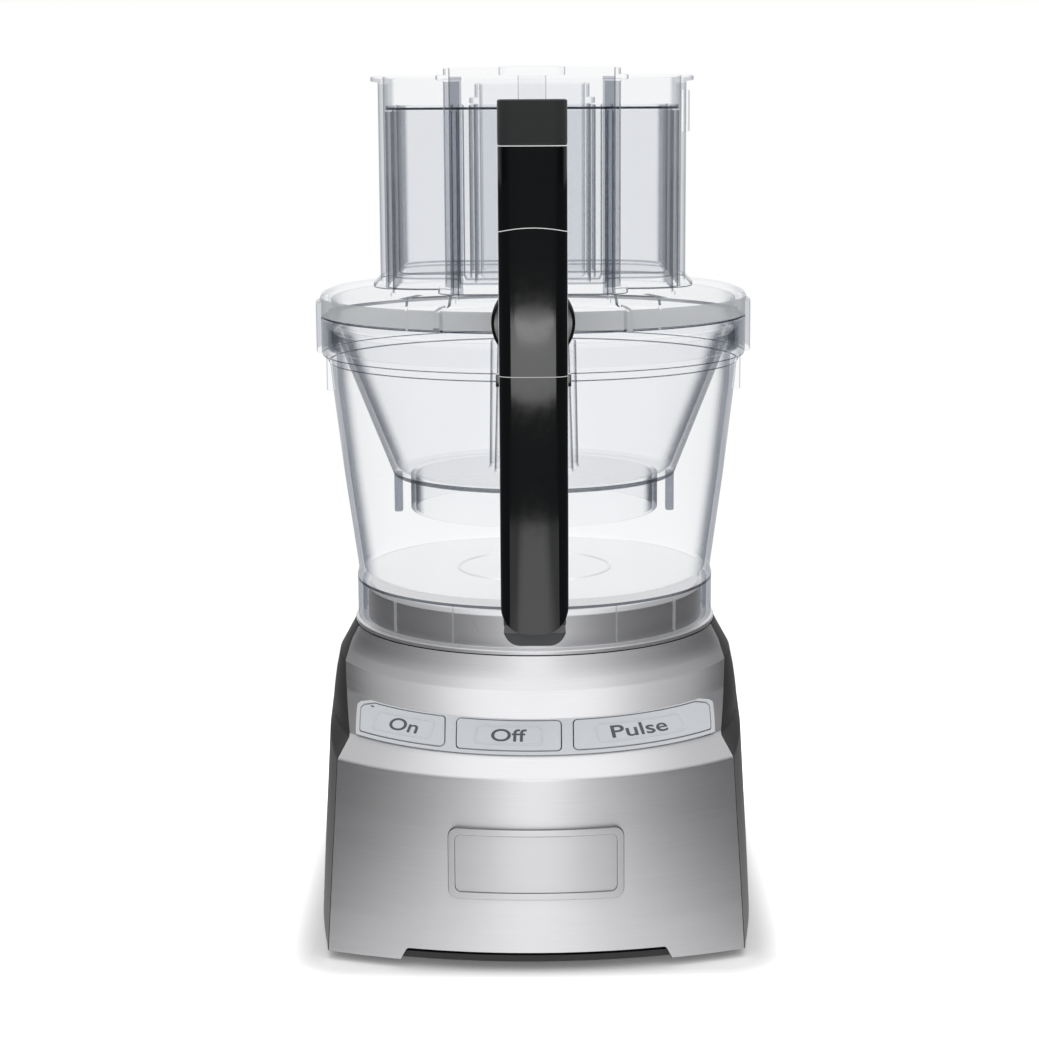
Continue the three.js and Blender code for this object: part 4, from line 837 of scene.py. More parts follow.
def make_platform():
    top = 19.0
    profile = rounded_loop([
        (6.35, 0, 0), (15, 0, 0), (15, top - 3, 0), (80, top - 3, 0), (80, 0, 0), (89.2, 0, 0.5),
        (89.2, 2, 0.7), (83, 2, 0.4), (83, top - 2, 1), (81, top, 1), (6.35, top, 0.4),
    ], 4)
    platform = spun("pedestal", profile, SHELF_Z)
    finish(platform, [material("brushed_stainless")], "brushed_steel", "base", "bowl_platform", angle=30)


def make_panel():
    strip = prism("control_strip", panel_loop(0), -PANEL["sink"], PANEL["rise"])
    for _, x0, x1, *_ in KEYS:
        combine(strip, "DIFFERENCE", prism("window", key_loop(x0, x1, KEY["gap"]), -5, 5))
    edged(strip, 0.3, 2)
    bent(strip, on_slope)
    finish(strip, [material("painted_polycarbonate")], "key_grey", "base", "control_panel", angle=30)


def label_frame(x0, x1, low, high, width, height):
    """A raised line round the lettering, drawn on the unrolled slope."""
    u0, u1 = across(x0, (low + high) / 2), across(x1, (low + high) / 2)
    rows = []
    for inset, h in [(0, -0.2), (0, 0.4), (0.3, 1), (0.7, 1), (1, 0.4), (1, -0.2)]:
        step = inset * width
        loop = box_loop(u0 + step, u1 - step, low + step, high - step, 2.4 - step, 6)
        rows.append([(u, v, KEY["rise"] + height * h) for u, v in loop])
    return skin("frame_line", rows, close=True)


def lettering(text, u, v, width, height):
    """Plain lettering as a thin film on the unrolled slope."""
    settle()
    bpy.ops.object.text_add()
    obj = bpy.context.object
    obj.data.body = text
    obj.data.size = 10
    obj.data.extrude = 0.05
    obj.data.resolution_u = 6
    obj.data.offset = 0.12
    bpy.ops.object.convert(target="MESH")
    obj = bpy.context.object
    xs = [vertex.co.x for vertex in obj.data.vertices]
    ys = [vertex.co.y for vertex in obj.data.vertices]
    wide, tall = max(xs) - min(xs), max(ys) - min(ys)
    for vertex in obj.data.vertices:
        x, y, z = vertex.co
        vertex.co = (u + (x - (max(xs) + min(xs)) / 2) * width / wide,
                     v + (y - (max(ys) + min(ys)) / 2) * height / tall, KEY["rise"] + z)
    return tidy(obj)


def make_keys():
    low, high = KEY_SPAN[0] + 2.4, KEY_SPAN[1] - 2.5
    middle = (low + high) / 2
    for node, x0, x1, body, text, frame0, frame1, width in KEYS:
        bottom = KEY["rise"] - KEY["depth"]
        key = prism(node.replace("button", "key"), key_loop(x0, x1, 0), bottom, KEY["rise"])
        edged(key, mm("key_edge"), 3)
        bent(key, on_slope)
        line = bent(label_frame(frame0, frame1, low, high, mm("frame_width"), mm("frame_rise")), on_slope)
        joined(key, line)
        key.data.materials.append(material("painted_polycarbonate"))
        if text == "On":
            lamp = prism("lamp", box_loop(-76.6, -74.8, high + 0.5, high + 1.1, 0.28), 0.9, 1.12)
            for vertex in lamp.data.vertices:
                vertex.co.x = across(vertex.co.x, vertex.co.y)
            lamp = edged(lamp, 0.06, 2)
            lamp.data.materials.append(material("printed_ink"))
            joined(key, bent(lamp, on_slope))
        finish(key, [], "key_grey", body, node, angle=30)
        place = across((frame0 + frame1) / 2, middle)
        letters = bent(lettering(text, place, middle, width, mm("letter_height")), on_slope, 1.5)
        letters.name = f"lettering_{text.lower()}"
        finish(letters, [material("printed_ink")], "key_grey", body, angle=30)


def make_badge():
    b = BADGE
    half, low, high, corner = b["half"], b["low"], b["high"], b["corner"]

    def outline(inset):
        return box_loop(inset - half, half - inset, low + inset, high - inset, corner - inset * 0.5, 6)

    plate = prism("badge", outline(0), 0, b["thick"])
    field = prism("field", outline(b["rim"]), b["thick"] - b["sink"], 5)
    combine(plate, "DIFFERENCE", field)
    edged(plate, 0.45, 3)

    def on_front(x, z, h):
        _, reach, radius = level_at(z)[:3]
        r = radius + GAP + h
        return (x, radius - reach - math.sqrt(r * r - x * x), z)

    sliced(plate, 4, axis=2)
    bent(plate, on_front, 3)
    coated(plate, "satin_stainless", "etched_stainless")
    # Painted shade: the bevels and side walls take the dark steel as a shade line round the badge.
    paint(plate, 1, lambda c, n: n.y > -0.82)
    finish(plate, [], "brushed_steel", "base", "badge_plate", angle=30)


def make_feet():
    profile = rounded_loop([
        (0, 0.9, 0), (5, 0.9, 0.4), (5.6, 0, 0.3), (8.4, 0, 0.6), (FOOT_R, 1.4, 0.8),
        (FOOT_R - 0.4, FOOT_HEIGHT, 0.2), (0, FOOT_HEIGHT, 0),
    ], 4)
    names = ["foot_front_left", "foot_front_right", "foot_rear_left", "foot_rear_right"]
    first = spun("pad", profile, 0, 40)
    for node, (x, y) in zip(names, FEET):
        pad = moved(copied(first, node.replace("foot", "pad")), x, y, 0)
        finish(pad, [material("moulded_rubber")], "rubber", "base", node, angle=40)
    bpy.data.objects.remove(first, do_unlink=True)


def make_gland():
    g = GLAND
    face, back = g["face"], g["back"]
    profile = [(0, face - g["shaft"], 0), (g["body"], face - g["shaft"], 0.4), (g["body"], face, 0),
               (g["collar"], face, 0.5)]
    profile += [(g["collar"], face + 1.2, 0.2), (g["collar"] - 0.7, face + 1.5, 0.2),
                (g["collar"] - 0.7, face + 1.9, 0.2), (g["collar"], face + 2.2, 0.2)]
    profile += [(g["collar"] - 0.6, back, 1), (g["bore"] + 1, back, 0.5), (g["bore"], back - 1, 0.3),
                (g["bore"], face - g["shaft"] + 3, 0), (0, face - g["shaft"] + 3, 0)]
    gland = turned(spun("gland", rounded_loop(profile, 3), 0, 48), -90, "X")
    moved(gland, g["x"], 0, g["z"])
    finish(gland, [material("moulded_rubber")], "rubber", "base", "cord_gland", angle=35)


DRIVE_FINISHES = {
    "cast_aluminium": ["motor_frame", "cooling_fan", "planet_carrier"],
    "ground_steel": ["ring_gear", "rotor_shaft", "drive_shaft",
                     "planet_gear_1", "planet_gear_2", "planet_gear_3"],
    "laminated_iron": ["motor_stator", "rotor_core"],
    "textured_abs": ["base_plate"],
}


def finish_drive():
    """The motor, the gears and the base plate keep their solids, with a finish each."""
    for finish_name, nodes in DRIVE_FINISHES.items():
        for node in nodes:
            data = frame["nodes"][node].data
            if not data.materials:
                data.materials.append(None)
            for index in range(len(data.materials)):
                data.materials[index] = material(finish_name)


# ---------------------------------------------------------------- bowls


def make_work_bowl():
    edge = mm("rim_edge")
    profile = rounded_loop([
        (85.6, 0, 0.5), (88, 0, 0.8), (88, 19, 0), (88, 20.3, 0.6), (87.2, 24.2, 2), (93.5, 71.7, 120),
        (98.6, 115.7, 40), (99.6, 126.2, 3), (COLLAR_R, 130.2, 1.2), (COLLAR_R, 147.9, edge),
        (100.6, 147.9, edge), (100.6, 132.4, 0.6),
        (96.6, 132.4, 1.2), (96, 115.7, 40), (90.9, 71.7, 120), (84.6, 24.2, 1.2), (82.6, 22.2, 1.5),
        (38.5, 22.2, 0.3), (37.5, 23, 0.3), (36.5, 22.2, 0.3), (13, 22.2, 1.5), (13, 58, 1), (9, 58, 0.8),
        (9, 18.8, 0.6), (85.6, 18.8, 0.8),
    ], 5)
    bowl = spun("clear_work_bowl", profile, BOWL_Z)
    ribs = []
    for heading in SKIRT_RIBS:
        for sign in (1, -1):
            rib = block("rib", -0.9, 0.9, -86.6, -83.9, 0.9, 19.3)
            ribs.append(moved(turned(rib, sign * heading), 0, 0, BOWL_Z))
    ramp_face = [(-32, 18.8), (-26, 7), (-14, 7), (-14, 19.3), (-32, 19.3)]
    for heading in RAMP_TURNS:
        ramp = prism("ramp", ramp_face, -120, 0, "Y")
        ring = spun("ring", [(84.4, 0), (86.9, 0), (86.9, 30), (84.4, 30)], 0, 96)
        combine(ramp, "INTERSECT", ring)
        ribs.append(moved(turned(ramp, heading), 0, 0, BOWL_Z))
    for angle in (0, 180):
        stop = block("stop", 97.6, 101.6, -3, 3, 111.2, 129.2)
        ribs.append(moved(turned(edged(stop, 0.5, 2), angle), 0, 0, BOWL_Z))
    combine(bowl, "UNION", joined(*ribs))
    coated(bowl, "clear_san", "bright_san", "milky_san", "shaded_san")

    def on_rib(c, n):
        return c.z - BOWL_Z < 18.7 and math.hypot(c.x, c.y) < 85.5

    def on_floor(c, n):
        return 22.0 < c.z - BOWL_Z < 23.2 and 14 < math.hypot(c.x, c.y) < 84.8 and n.z > 0.4

    def on_floor_line(c, n):
        return 18.9 < c.z - BOWL_Z < 20.4 and math.hypot(c.x, c.y) > 86.6 and c.y < 0

    def on_collar(c, n):
        z = c.z - BOWL_Z
        return math.hypot(c.x, c.y) > 99 and (126.2 < z < 127.4 or 130.2 < z < 131)

    # A painted highlight on the ribs inside the skirt, a painted highlight and reflection on the floor,
    # and painted shade lines at the floor's front edge and round the collar.
    paint(bowl, 1, on_rib)
    paint(bowl, 2, on_floor)
    for test in (on_floor_line, on_collar):
        paint(bowl, 3, test)
    finish(bowl, [], "clear_plastic", "bowl", "work_bowl", angle=28)


def make_inner_bowl():
    profile = rounded_loop([
        (97.8, 0, 0.6), (LIP_R, 0, 0.8), (LIP_R, 10.6, 0.8), (94, 10.6, 1), (87.9, -8, 30), (67.8, -58, 3),
        (65.8, -60, 2), (22, -60, 1.5), (21, 2.5, 1), (19, 4.5, 1.5), (0, 4.5, 0), (0, 2.1, 0),
        (17.6, 2.1, 1), (19.6, -62.4, 1), (58.6, -62.4, 0.5), (58.6, -80, 0.4), (61, -80, 0.8),
        (61, -62.4, 0.5), (69.2, -62.4, 1), (70.2, -60, 3), (90.3, -9, 30), (96.4, 8.2, 1.5),
        (97.8, 8.2, 0.5),
    ], 5)
    bowl = spun("clear_inner_bowl", profile, INNER_Z)
    legs = []
    for heading in (0, 90, 180, 270):
        leg = prism("leg", box_loop(65.2, 69.2, -3.75, 3.75, 1.2, 5), -81.8, -60.5)
        edged(leg, 0.5, 2, 60)
        legs.append(moved(turned(leg, heading), 0, 0, INNER_Z))
    combine(bowl, "UNION", joined(*legs))
    coated(bowl, "deep_san", "shaded_san", "dimmed_san")

    def on_leg(c, n):
        return c.z - INNER_Z < -62.4 and math.hypot(c.x, c.y) > 62

    def on_floor_line(c, n):
        at_floor = -62.5 < c.z - INNER_Z < -60.2 and math.hypot(c.x, c.y) > 69
        return at_floor and c.y < 0 and abs(n.z) < 0.95

    # Painted shade on the legs and a painted shade line where the front wall meets the floor.
    paint(bowl, 2, on_leg)
    paint(bowl, 1, on_floor_line)
    finish(bowl, [], "clear_plastic", "second_bowl", "inner_bowl", angle=28)


# ---------------------------------------------------------------- lid, sleeve and pushers


def lid_cap(inset):
    """What lies under the lid's outer surface, set in by a distance."""
    return spun("cap", [
        (0, -3), (BAND_R - inset, -3), (BAND_R - inset, 9.5 - inset / 2),
        (BAND_R - 1.2 - inset, 11.7 - inset), (98 - inset / 2, 13.8 - inset),
        (84, 14.9 - inset), (78, 15.5 - inset), (0, 15.5 - inset),
    ], 0, 96)


def make_lid():
    edge = mm("rim_edge")
    profile = rounded_loop([
        (0, 13.1, 0), (94, 11, 1.5), (99, 9.5, 2), (97.8, 3, 1), (97.8, -3, 0.6), (LIP_R, -3, 0.8),
        (LIP_R, 0, 0.3), (103.5, 0, 0.4), (BAND_R, 0.5, 0.3), (BAND_R, 1.2, 0), (BAND_R, 9.5, 1.6),
        (102.8, 11.7, 1.6), (98, 13.8, 4), (84, 14.9, 30), (78, 15.5, 30), (0, 15.5, 0),
    ], 5)
    lid = spun("clear_lid", profile)
    combine(lid, "DIFFERENCE", prism("bore", tube_loop(1.2), -10, 30))
    wall_profile = rounded_loop([(0, 12.6, 0.4), (2.4, 12.6, 0.4), (2.4, 98.5, edge), (0, 98.5, edge)], 4)
    combine(lid, "UNION", walled("wall", wall_profile, tube_loop, close=True))
    window = [(0, -5), (0, 60), (1.2, 60), (1.2, -5)]

    def window_loop(inset):
        return box_loop(37 + inset, 58 - inset, -95 + inset, -72 - inset, 3 - inset, 5)

    for sign in (1, -1):
        line = walled("line", window, window_loop, close=True)
        if sign < 0:
            mirrored(line)
        combine(line, "DIFFERENCE", lid_cap(0.6))
        combine(lid, "DIFFERENCE", line)
    mark = turned(block("mark", -1.3, 1.3, -120, -102.8, -1, 2), -25)
    combine(lid, "DIFFERENCE", mark)
    lug_profile = rounded_loop([
        (103.6, -17, 0.5), (106, -16.4, 0.8), (106, 7.5, 0.8), (102.6, 9.5, 0.8), (101.2, 9.5, 0),
        (101.2, 0.2, 0), (103.6, 0.2, 0),
    ], 4)
    lugs = []
    for middle in (90, 270):
        rows = []
        for k in range(13):
            heading = math.radians(middle - 11 + 22 * k / 12)
            rows.append([(r * math.sin(heading), -r * math.cos(heading), z) for r, z in lug_profile])
        lugs.append(edged(skin("lug", rows, cap=True), 0.5, 2, 50))
    combine(lid, "UNION", joined(*lugs))
    moved(lid, 0, 0, LID_Z)
    coated(lid, "clear_san", "frosted_san", "shaded_san", "walled_san")

    def on_band(c, n):
        upright = abs(n.z) < 0.6 and abs(c.x) < 103
        return math.hypot(c.x, c.y) > 102.9 and 1.2 < c.z - LID_Z < 9.9 and upright

    def on_tube(c, n):
        return c.z - LID_Z > 18 and abs(c.x) < 72 and abs(n.z) < 0.5

    def on_foot(c, n):
        return math.hypot(c.x, c.y) > 100.3 and -0.1 < c.z - LID_Z < 1.2 and abs(c.x) < 103.3

    def on_window(c, n):
        x, y = abs(c.x), c.y
        outer = 36.9 < x < 58.1 and -95.1 < y < -71.9
        inner = 38.25 < x < 56.75 and -93.75 < y < -73.25
        return outer and not inner and c.z - LID_Z > 11.5

    def on_mark(c, n):
        heading = math.degrees(math.atan2(c.x, -c.y))
        return abs(heading + 25) < 0.9 and math.hypot(c.x, c.y) > 102.5 and c.z - LID_Z < 2.2

    paint(lid, 1, on_band)
    paint(lid, 3, on_tube)
    # Painted shade lines along the foot, the engraved window frames and the mark.
    for test in (on_foot, on_window, on_mark):
        paint(lid, 2, test)
    finish(lid, [], "clear_plastic", "cover", "lid", angle=28)


def make_sleeve():
    edge = mm("rim_edge")
    profile = rounded_loop([
        (3.3, 0, 0.4), (9.1, 0, 0.6), (9.1, 2.6, 0.8), (5.7, 2.6, 1), (5.7, 96, 1), (9.1, 96, 0.6),
        (9.1, 98.6, edge), (3.3, 98.6, edge),
    ], 4)
    sleeve = walled("clear_sleeve", profile, tube_loop, close=True)
    rim = prism("rim", box_loop(-40.2, 40.2, -82.7, -42, 11.7, 9), 97.6, 101.6)
    edged(rim, 0.6, 3, 60)
    combine(rim, "DIFFERENCE", prism("bore", tube_loop(3.3), 90, 110))
    tongue = prism("tongue", box_loop(-14.5, 14.5, -116, -81.5, 6, 8), 97.6, 101.6)
    edged(tongue, 0.7, 3, 60)
    post_profile = rounded_loop([(0, 67.9, 0), (6.2, 67.9, 0.6), (6.2, 100.6, 0), (0, 100.6, 0)], 3)
    post = moved(spun("post", post_profile, 0, 40), 0, -108, 0)
    clip = edged(block("clip", 71.7, 75.7, -6, 6, 72, 92), 0.6, 2)
    combine(sleeve, "UNION", rim, tongue, post, clip)
    moved(sleeve, 0, 0, SLEEVE_Z)
    coated(sleeve, "clear_san", "shaded_san", "dimmed_san")

    def on_foot(c, n):
        return c.z - SLEEVE_Z < 0.7 and abs(n.z) < 0.95

    def on_nose(c, n):
        at_corner = 32 < abs(c.x) < 40.6 and c.y < -60
        return at_corner and 3 < c.z - SLEEVE_Z < 97 and abs(n.z) < 0.5

    # A painted shade line along the foot and a painted shade band down the nose's corners.
    paint(sleeve, 1, on_foot)
    paint(sleeve, 2, on_nose)
    finish(sleeve, [], "clear_plastic", "tube_sleeve", "sleeve", angle=28)


def make_large_pusher():
    profile = [(-2.2, -79), (-1.2, -78.7), (-0.8, -77.8), (-0.8, 0), (1.9, 0), (2.1, 0.3), (2.1, 1.1),
               (2.1, 1.9), (1.6, 2.4), (-2.5, 2.4), (-3, 1.9), (-3, -75.8), (-4, -76.8)]
    pusher = walled("clear_large_pusher", profile, tube_loop, cap=True)
    well = [(2.2, -78.6), (2.2, 1.9), (1.7, 2.4)]
    combine(pusher, "UNION", walled("well", well, well_loop, cap=True))
    combine(pusher, "DIFFERENCE", walled("well_bore", [(0, -90), (0, 20)], well_loop, cap=True))
    moved(pusher, 0, 0, PUSHER_Z)
    coated(pusher, "walled_san", "shaded_san", "dimmed_san")

    def on_lip(c, n):
        return -0.1 < c.z - PUSHER_Z < 1.15 and abs(n.z) < 0.95

    def on_bottom(c, n):
        return c.z - PUSHER_Z < -73.4 and abs(n.z) < 0.95

    # A painted shade line along the lip and a painted shade band round the lower end.
    paint(pusher, 1, on_lip)
    paint(pusher, 2, on_bottom)
    finish(pusher, [], "clear_plastic", "pusher", "large_pusher", angle=28)


def make_small_pusher():
    profile = [(-2, -79), (-1, -78.7), (-0.6, -78), (-0.6, 2.7), (1.6, 2.7), (1.9, 3), (1.9, 5.3),
               (1.5, 5.7), (-0.6, 5.7), (-0.6, 11.5), (-1.1, 12), (-2.3, 12), (-2.8, 11.5),
               (-2.8, -75.8), (-3.8, -76.8)]
    small = walled("clear_small_pusher", profile, well_loop, cap=True)
    moved(small, 0, 0, PUSHER_Z)
    finish(small, [material("clear_san")], "clear_plastic", "inner_pusher", "small_pusher", angle=28)


# ---------------------------------------------------------------- handle


def grip_plan():
    """The column in plan: its front is slightly crowned."""
    g = GRIP
    front, back, half, crown = -g["front"], -g["back"], g["half"], g["crown"]
    face = [(half * k / 10, front + crown * (k / 10) ** 2, 0) for k in range(-5, 6)]
    return rounded_loop([
        (-half, front + crown, g["round"] - 1), *face,
        (half, front + crown, g["round"] - 1), (half, back, g["round"]), (-half, back, g["round"]),
    ], 8)


def grip_column(name, z0, z1, arch_low=0.0, arch_high=0.0, foot=0.0):
    """The handle between two heights, its ends arched or flat, or its foot rounded."""
    half = GRIP["half"] + 0.01
    steps = 24
    if foot:
        lower = rounded_loop([(-half, z0, foot), (half, z0, foot), (half, z1, 0), (-half, z1, 0)], 12)[:-2]
    else:
        lower = [(-half + 2 * half * k / steps, z0 + arch_low * (1 - (2 * k / steps - 1) ** 2))
                 for k in range(steps + 1)]
    upper = [(half - 2 * half * k / steps, z1 + arch_high * (1 - (2 * k / steps - 1) ** 2))
             for k in range(steps + 1)]
    column = prism(name, grip_plan(), z0 - 1, z1 + 1 + arch_high)
    combine(column, "INTERSECT", prism("ends", lower + upper, -200, -50, "Y"))
    return edged(column, mm("handle_edge"), 3, 50)


def make_bowl_handle():
    low, high = GRIP_Z["bowl"]
    grip = grip_column("bowl_grip", low, high, foot=GRIP["foot"])
    arm = prism("arm", [(-124, 240.5), (-121, 248.5), (-116, 253), (-110, 254.5), (-92.6, 254.5),
                        (-92.6, 269.5), (-124, 269.5)], -13, 13, "X")
    outside = spun("outside", [(99.2, 200), (99.2, 253.7), (99.9, 263.9), (103.5, 267.8), (103.5, 290),
                               (160, 290), (160, 200)], 0, 96)
    edged(combine(arm, "INTERSECT", outside), 0.7, 2)
    combine(grip, "UNION", arm)
    for sign in (1, -1):
        ear = edged(block("ear", sign * 15.2 - 1.3, sign * 15.2 + 1.3, -130, -124, 266, 271.5), 0.4, 2)
        combine(grip, "UNION", ear)
    finish(grip, [material("polished_abs")], "black_gloss", "bowl", "bowl_handle", angle=35)


def make_lid_handle():
    low, high = GRIP_Z["lid"]
    grip = grip_column("lid_grip", low, high, arch_high=GRIP["arch"])
    arm = block("arm", -13, 13, -124, -100, 286.9, 296)
    boss_profile = rounded_loop([(0, 0, 0), (18.7, 0, 0), (18.7, 8, 1.6), (0, 8, 0)], 5)
    boss = turned(spun("boss", boss_profile, 0, 72), 90, "X")
    moved(boss, 0, -104.3, 292.45)
    combine(arm, "UNION", boss)
    combine(arm, "DIFFERENCE", spun("seat", [(0, 200), (104.3, 200), (104.3, 320), (0, 320)], 0, 96))
    combine(grip, "UNION", arm)
    finish(grip, [material("polished_abs")], "black_gloss", "cover", "lid_handle", angle=35)


def make_sleeve_handle():
    low, high = GRIP_Z["sleeve"]
    grip = grip_column("sleeve_grip", low, high, arch_low=GRIP["arch"])
    arm = edged(block("arm", -13, 13, -124, -83.0, high - 18, high - 0.02), 0.7, 2)
    combine(grip, "UNION", arm)
    finish(grip, [material("polished_abs")], "black_gloss", "tube_sleeve", "sleeve_handle", angle=35)


def make_lock():
    low, high = GRIP_Z["lock"]
    plan = box_loop(-15, 15, -142, -125, 7, 8)
    lock = edged(prism("lock_slide", plan, low, high), 0.9, 3, 50)
    finish(lock, [material("satin_abs")], "charcoal", "lock", "pusher_lock", angle=35)


def make_handle_foot():
    """Starts from a merged copy of the CAD solid, whose cup is then cut to its shape."""
    source = frame["nodes"]["handle_foot"]
    only(source)
    bpy.ops.object.duplicate()
    foot = bpy.context.object
    foot.name = "clear_handle_foot"
    for key in list(foot.keys()):
        del foot[key]
    foot.hide_render = False
    world = foot.matrix_world.copy()
    foot.parent = None
    foot.matrix_world = Matrix.Identity(4)
    foot.data.transform(world)
    foot.data.transform(Matrix.Scale(1 / MM, 4))
    tidy(foot, 0.01)
    edit(foot)
    bpy.ops.mesh.dissolve_limited(angle_limit=math.radians(3))
    bpy.ops.object.mode_set(mode="OBJECT")
    low, high = 152.0, 168.0
    cup = rounded_loop([(-14.2, low, 8), (14.2, low, 8), (14.2, high, 0), (-14.2, high, 0)], 8)
    combine(foot, "INTERSECT", prism("cup", cup, -150, -80, "Y"))
    edged(foot, 0.5, 2, 45)
    foot.data.materials.clear()
    finish(foot, [material("smoked_san")], "clear_plastic", "bowl", "handle_foot", angle=30)


# ---------------------------------------------------------------- stage


def card(name, width, height, place, turn, shade):
    """A card of one brightness for the reflections only."""
    settle()
    bpy.ops.mesh.primitive_plane_add(size=1)
    board = bpy.context.object
    board.name = name
    board.scale = (width, height, 1)
    board.location = place
    board.rotation_euler = turn
    made, tree = new_material(f"{name}_card")
    light = add(tree, "ShaderNodeEmission", {"Color": rgba(shade), "Strength": 1})
    add(tree, "ShaderNodeOutputMaterial", {"Surface": light})
    board.data.materials.append(made)
    board.visible_camera = False
    board.visible_diffuse = False
    board.visible_shadow = False
    board.visible_transmission = False


# Half of the rectangle that the floor's painted shade and painted glow spread from, in metres along each
# axis.
SHADE_HALF = (("X", 0.085), ("Y", 0.115))


def make_floor():
    settle()
    bpy.ops.mesh.primitive_circle_add(vertices=96, radius=1.3, fill_type="NGON")
    floor = bpy.context.object
    floor.name = "floor"
    made, tree = new_material("white_board")
    path = add(tree, "ShaderNodeLightPath").outputs
    seen = add(tree, "ShaderNodeMath", {
        0: path["Is Camera Ray"], 1: path["Is Transmission Ray"]}, operation="MAXIMUM")
    place = add(tree, "ShaderNodeTexCoord").outputs["Object"]
    where = add(tree, "ShaderNodeSeparateXYZ", {"Vector": place}).outputs
    squares = []
    for axis, half in SHADE_HALF:
        away = add(tree, "ShaderNodeMath", {0: where[axis], 1: 0}, operation="ABSOLUTE")
        past = add(tree, "ShaderNodeMath", {0: away, 1: half}, operation="SUBTRACT")
        outside = add(tree, "ShaderNodeMath", {0: past, 1: 0}, operation="MAXIMUM")
        squares.append(add(tree, "ShaderNodeMath", {0: outside, 1: outside}, operation="MULTIPLY"))
    total = add(tree, "ShaderNodeMath", {0: squares[0], 1: squares[1]}, operation="ADD")
    apart = add(tree, "ShaderNodeMath", {0: total, 1: 0}, operation="SQRT")
    # Painted light on the floor as the camera sees it: little glow next to the base, a painted contact
    # shadow, then a ring of painted glow that covers the wider shadow, and less again far out.
    near = add(tree, "ShaderNodeMapRange", {
        "Value": apart, **between(0.016, 0.044, 0.1, 0.85)}, interpolation_type="SMOOTHSTEP")
    far = add(tree, "ShaderNodeMapRange", {
        "Value": apart, **between(0.12, 0.35, 0, 0.63)}, interpolation_type="SMOOTHSTEP")
    painted_glow_ring = add(tree, "ShaderNodeMath", {0: near, 1: far}, operation="SUBTRACT")
    sideways = add(tree, "ShaderNodeMath", {0: where["X"], 1: 0}, operation="ABSOLUTE")
    aside = add(tree, "ShaderNodeMapRange", {
        "Value": sideways, **between(0.08, 0.26, 0.76, 0.16)}, interpolation_type="SMOOTHSTEP")
    mirrored_level = add(tree, "ShaderNodeMath", {
        0: path["Is Glossy Ray"], 1: aside}, operation="MULTIPLY")
    seen_level = add(tree, "ShaderNodeMath", {0: seen, 1: painted_glow_ring}, operation="MULTIPLY")
    glow = add(tree, "ShaderNodeMath", {0: seen_level, 1: mirrored_level}, operation="ADD")
    shade = add(tree, "ShaderNodeMix", {
        "Factor": path["Is Glossy Ray"], "A": rgba((0.85, 0.85, 0.85)), "B": rgba((0.3, 0.3, 0.3))},
        data_type="RGBA").outputs[2]
    board = add(tree, "ShaderNodeBsdfDiffuse", {"Color": shade})
    light = add(tree, "ShaderNodeEmission", {"Color": rgba((1, 1, 1)), "Strength": glow})
    both = add(tree, "ShaderNodeAddShader", {0: board, 1: light})
    add(tree, "ShaderNodeOutputMaterial", {"Surface": both})
    floor.data.materials.append(made)


def make_world():
    world = bpy.data.worlds.new("studio")
    bpy.context.scene.world = world
    world.use_nodes = True
    world.cycles.sampling_method = "NONE"
    tree = world.node_tree
    tree.nodes.clear()
    path = add(tree, "ShaderNodeLightPath").outputs
    seen = add(tree, "ShaderNodeMath", {
        0: path["Is Camera Ray"], 1: path["Is Transmission Ray"]}, operation="MAXIMUM")
    way = add(tree, "ShaderNodeTexCoord").outputs["Generated"]
    parts = add(tree, "ShaderNodeSeparateXYZ", {"Vector": way}).outputs
    sideways = add(tree, "ShaderNodeMath", {0: parts["X"], 1: 0}, operation="ABSOLUTE")
    behind = add(tree, "ShaderNodeMapRange", {
        "Value": parts["Y"], **between(-0.25, 0.35, 0.1, 1)}, interpolation_type="SMOOTHSTEP")
    aside = add(tree, "ShaderNodeMapRange", {
        "Value": sideways, **between(0.15, 0.9, 1, 0.3)}, interpolation_type="SMOOTHSTEP")
    broad = add(tree, "ShaderNodeMapRange", {
        "Value": sideways, **between(0.25, 1, 1, 0.7)}, interpolation_type="SMOOTHSTEP")
    upward = add(tree, "ShaderNodeMapRange", {
        "Value": parts["Z"], **between(0.04, 0.42, 0, 0.8)}, interpolation_type="SMOOTHSTEP")
    above = add(tree, "ShaderNodeMath", {0: upward, 1: broad}, operation="MULTIPLY")
    rear = add(tree, "ShaderNodeMath", {0: behind, 1: aside}, operation="MULTIPLY")
    mirrored_level = add(tree, "ShaderNodeMath", {0: rear, 1: above}, operation="MAXIMUM")
    glossy = add(tree, "ShaderNodeMath", {
        0: path["Is Glossy Ray"], 1: mirrored_level}, operation="MULTIPLY")
    matte = add(tree, "ShaderNodeMath", {0: 1, 1: path["Is Glossy Ray"]}, operation="SUBTRACT")
    soft = add(tree, "ShaderNodeMath", {0: matte, 1: 0.85}, operation="MULTIPLY")
    either = add(tree, "ShaderNodeMath", {0: glossy, 1: soft}, operation="ADD")
    hidden = add(tree, "ShaderNodeMath", {0: 1, 1: seen}, operation="SUBTRACT")
    unseen = add(tree, "ShaderNodeMath", {0: hidden, 1: either}, operation="MULTIPLY")
    strength = add(tree, "ShaderNodeMath", {0: seen, 1: unseen}, operation="ADD")
    sky = add(tree, "ShaderNodeBackground", {"Color": rgba((1, 1, 1)), "Strength": strength})
    add(tree, "ShaderNodeOutputWorld", {"Surface": sky})


def area_light(name, size_x, size_y, place, turn, watts):
    settle()
    bpy.ops.object.light_add(type="AREA", location=place, rotation=turn)
    lamp = bpy.context.object
    lamp.name = name
    lamp.data.shape = "RECTANGLE"
    lamp.data.size = size_x
    lamp.data.size_y = size_y
    lamp.data.energy = watts
    lamp.visible_camera = False
    return lamp


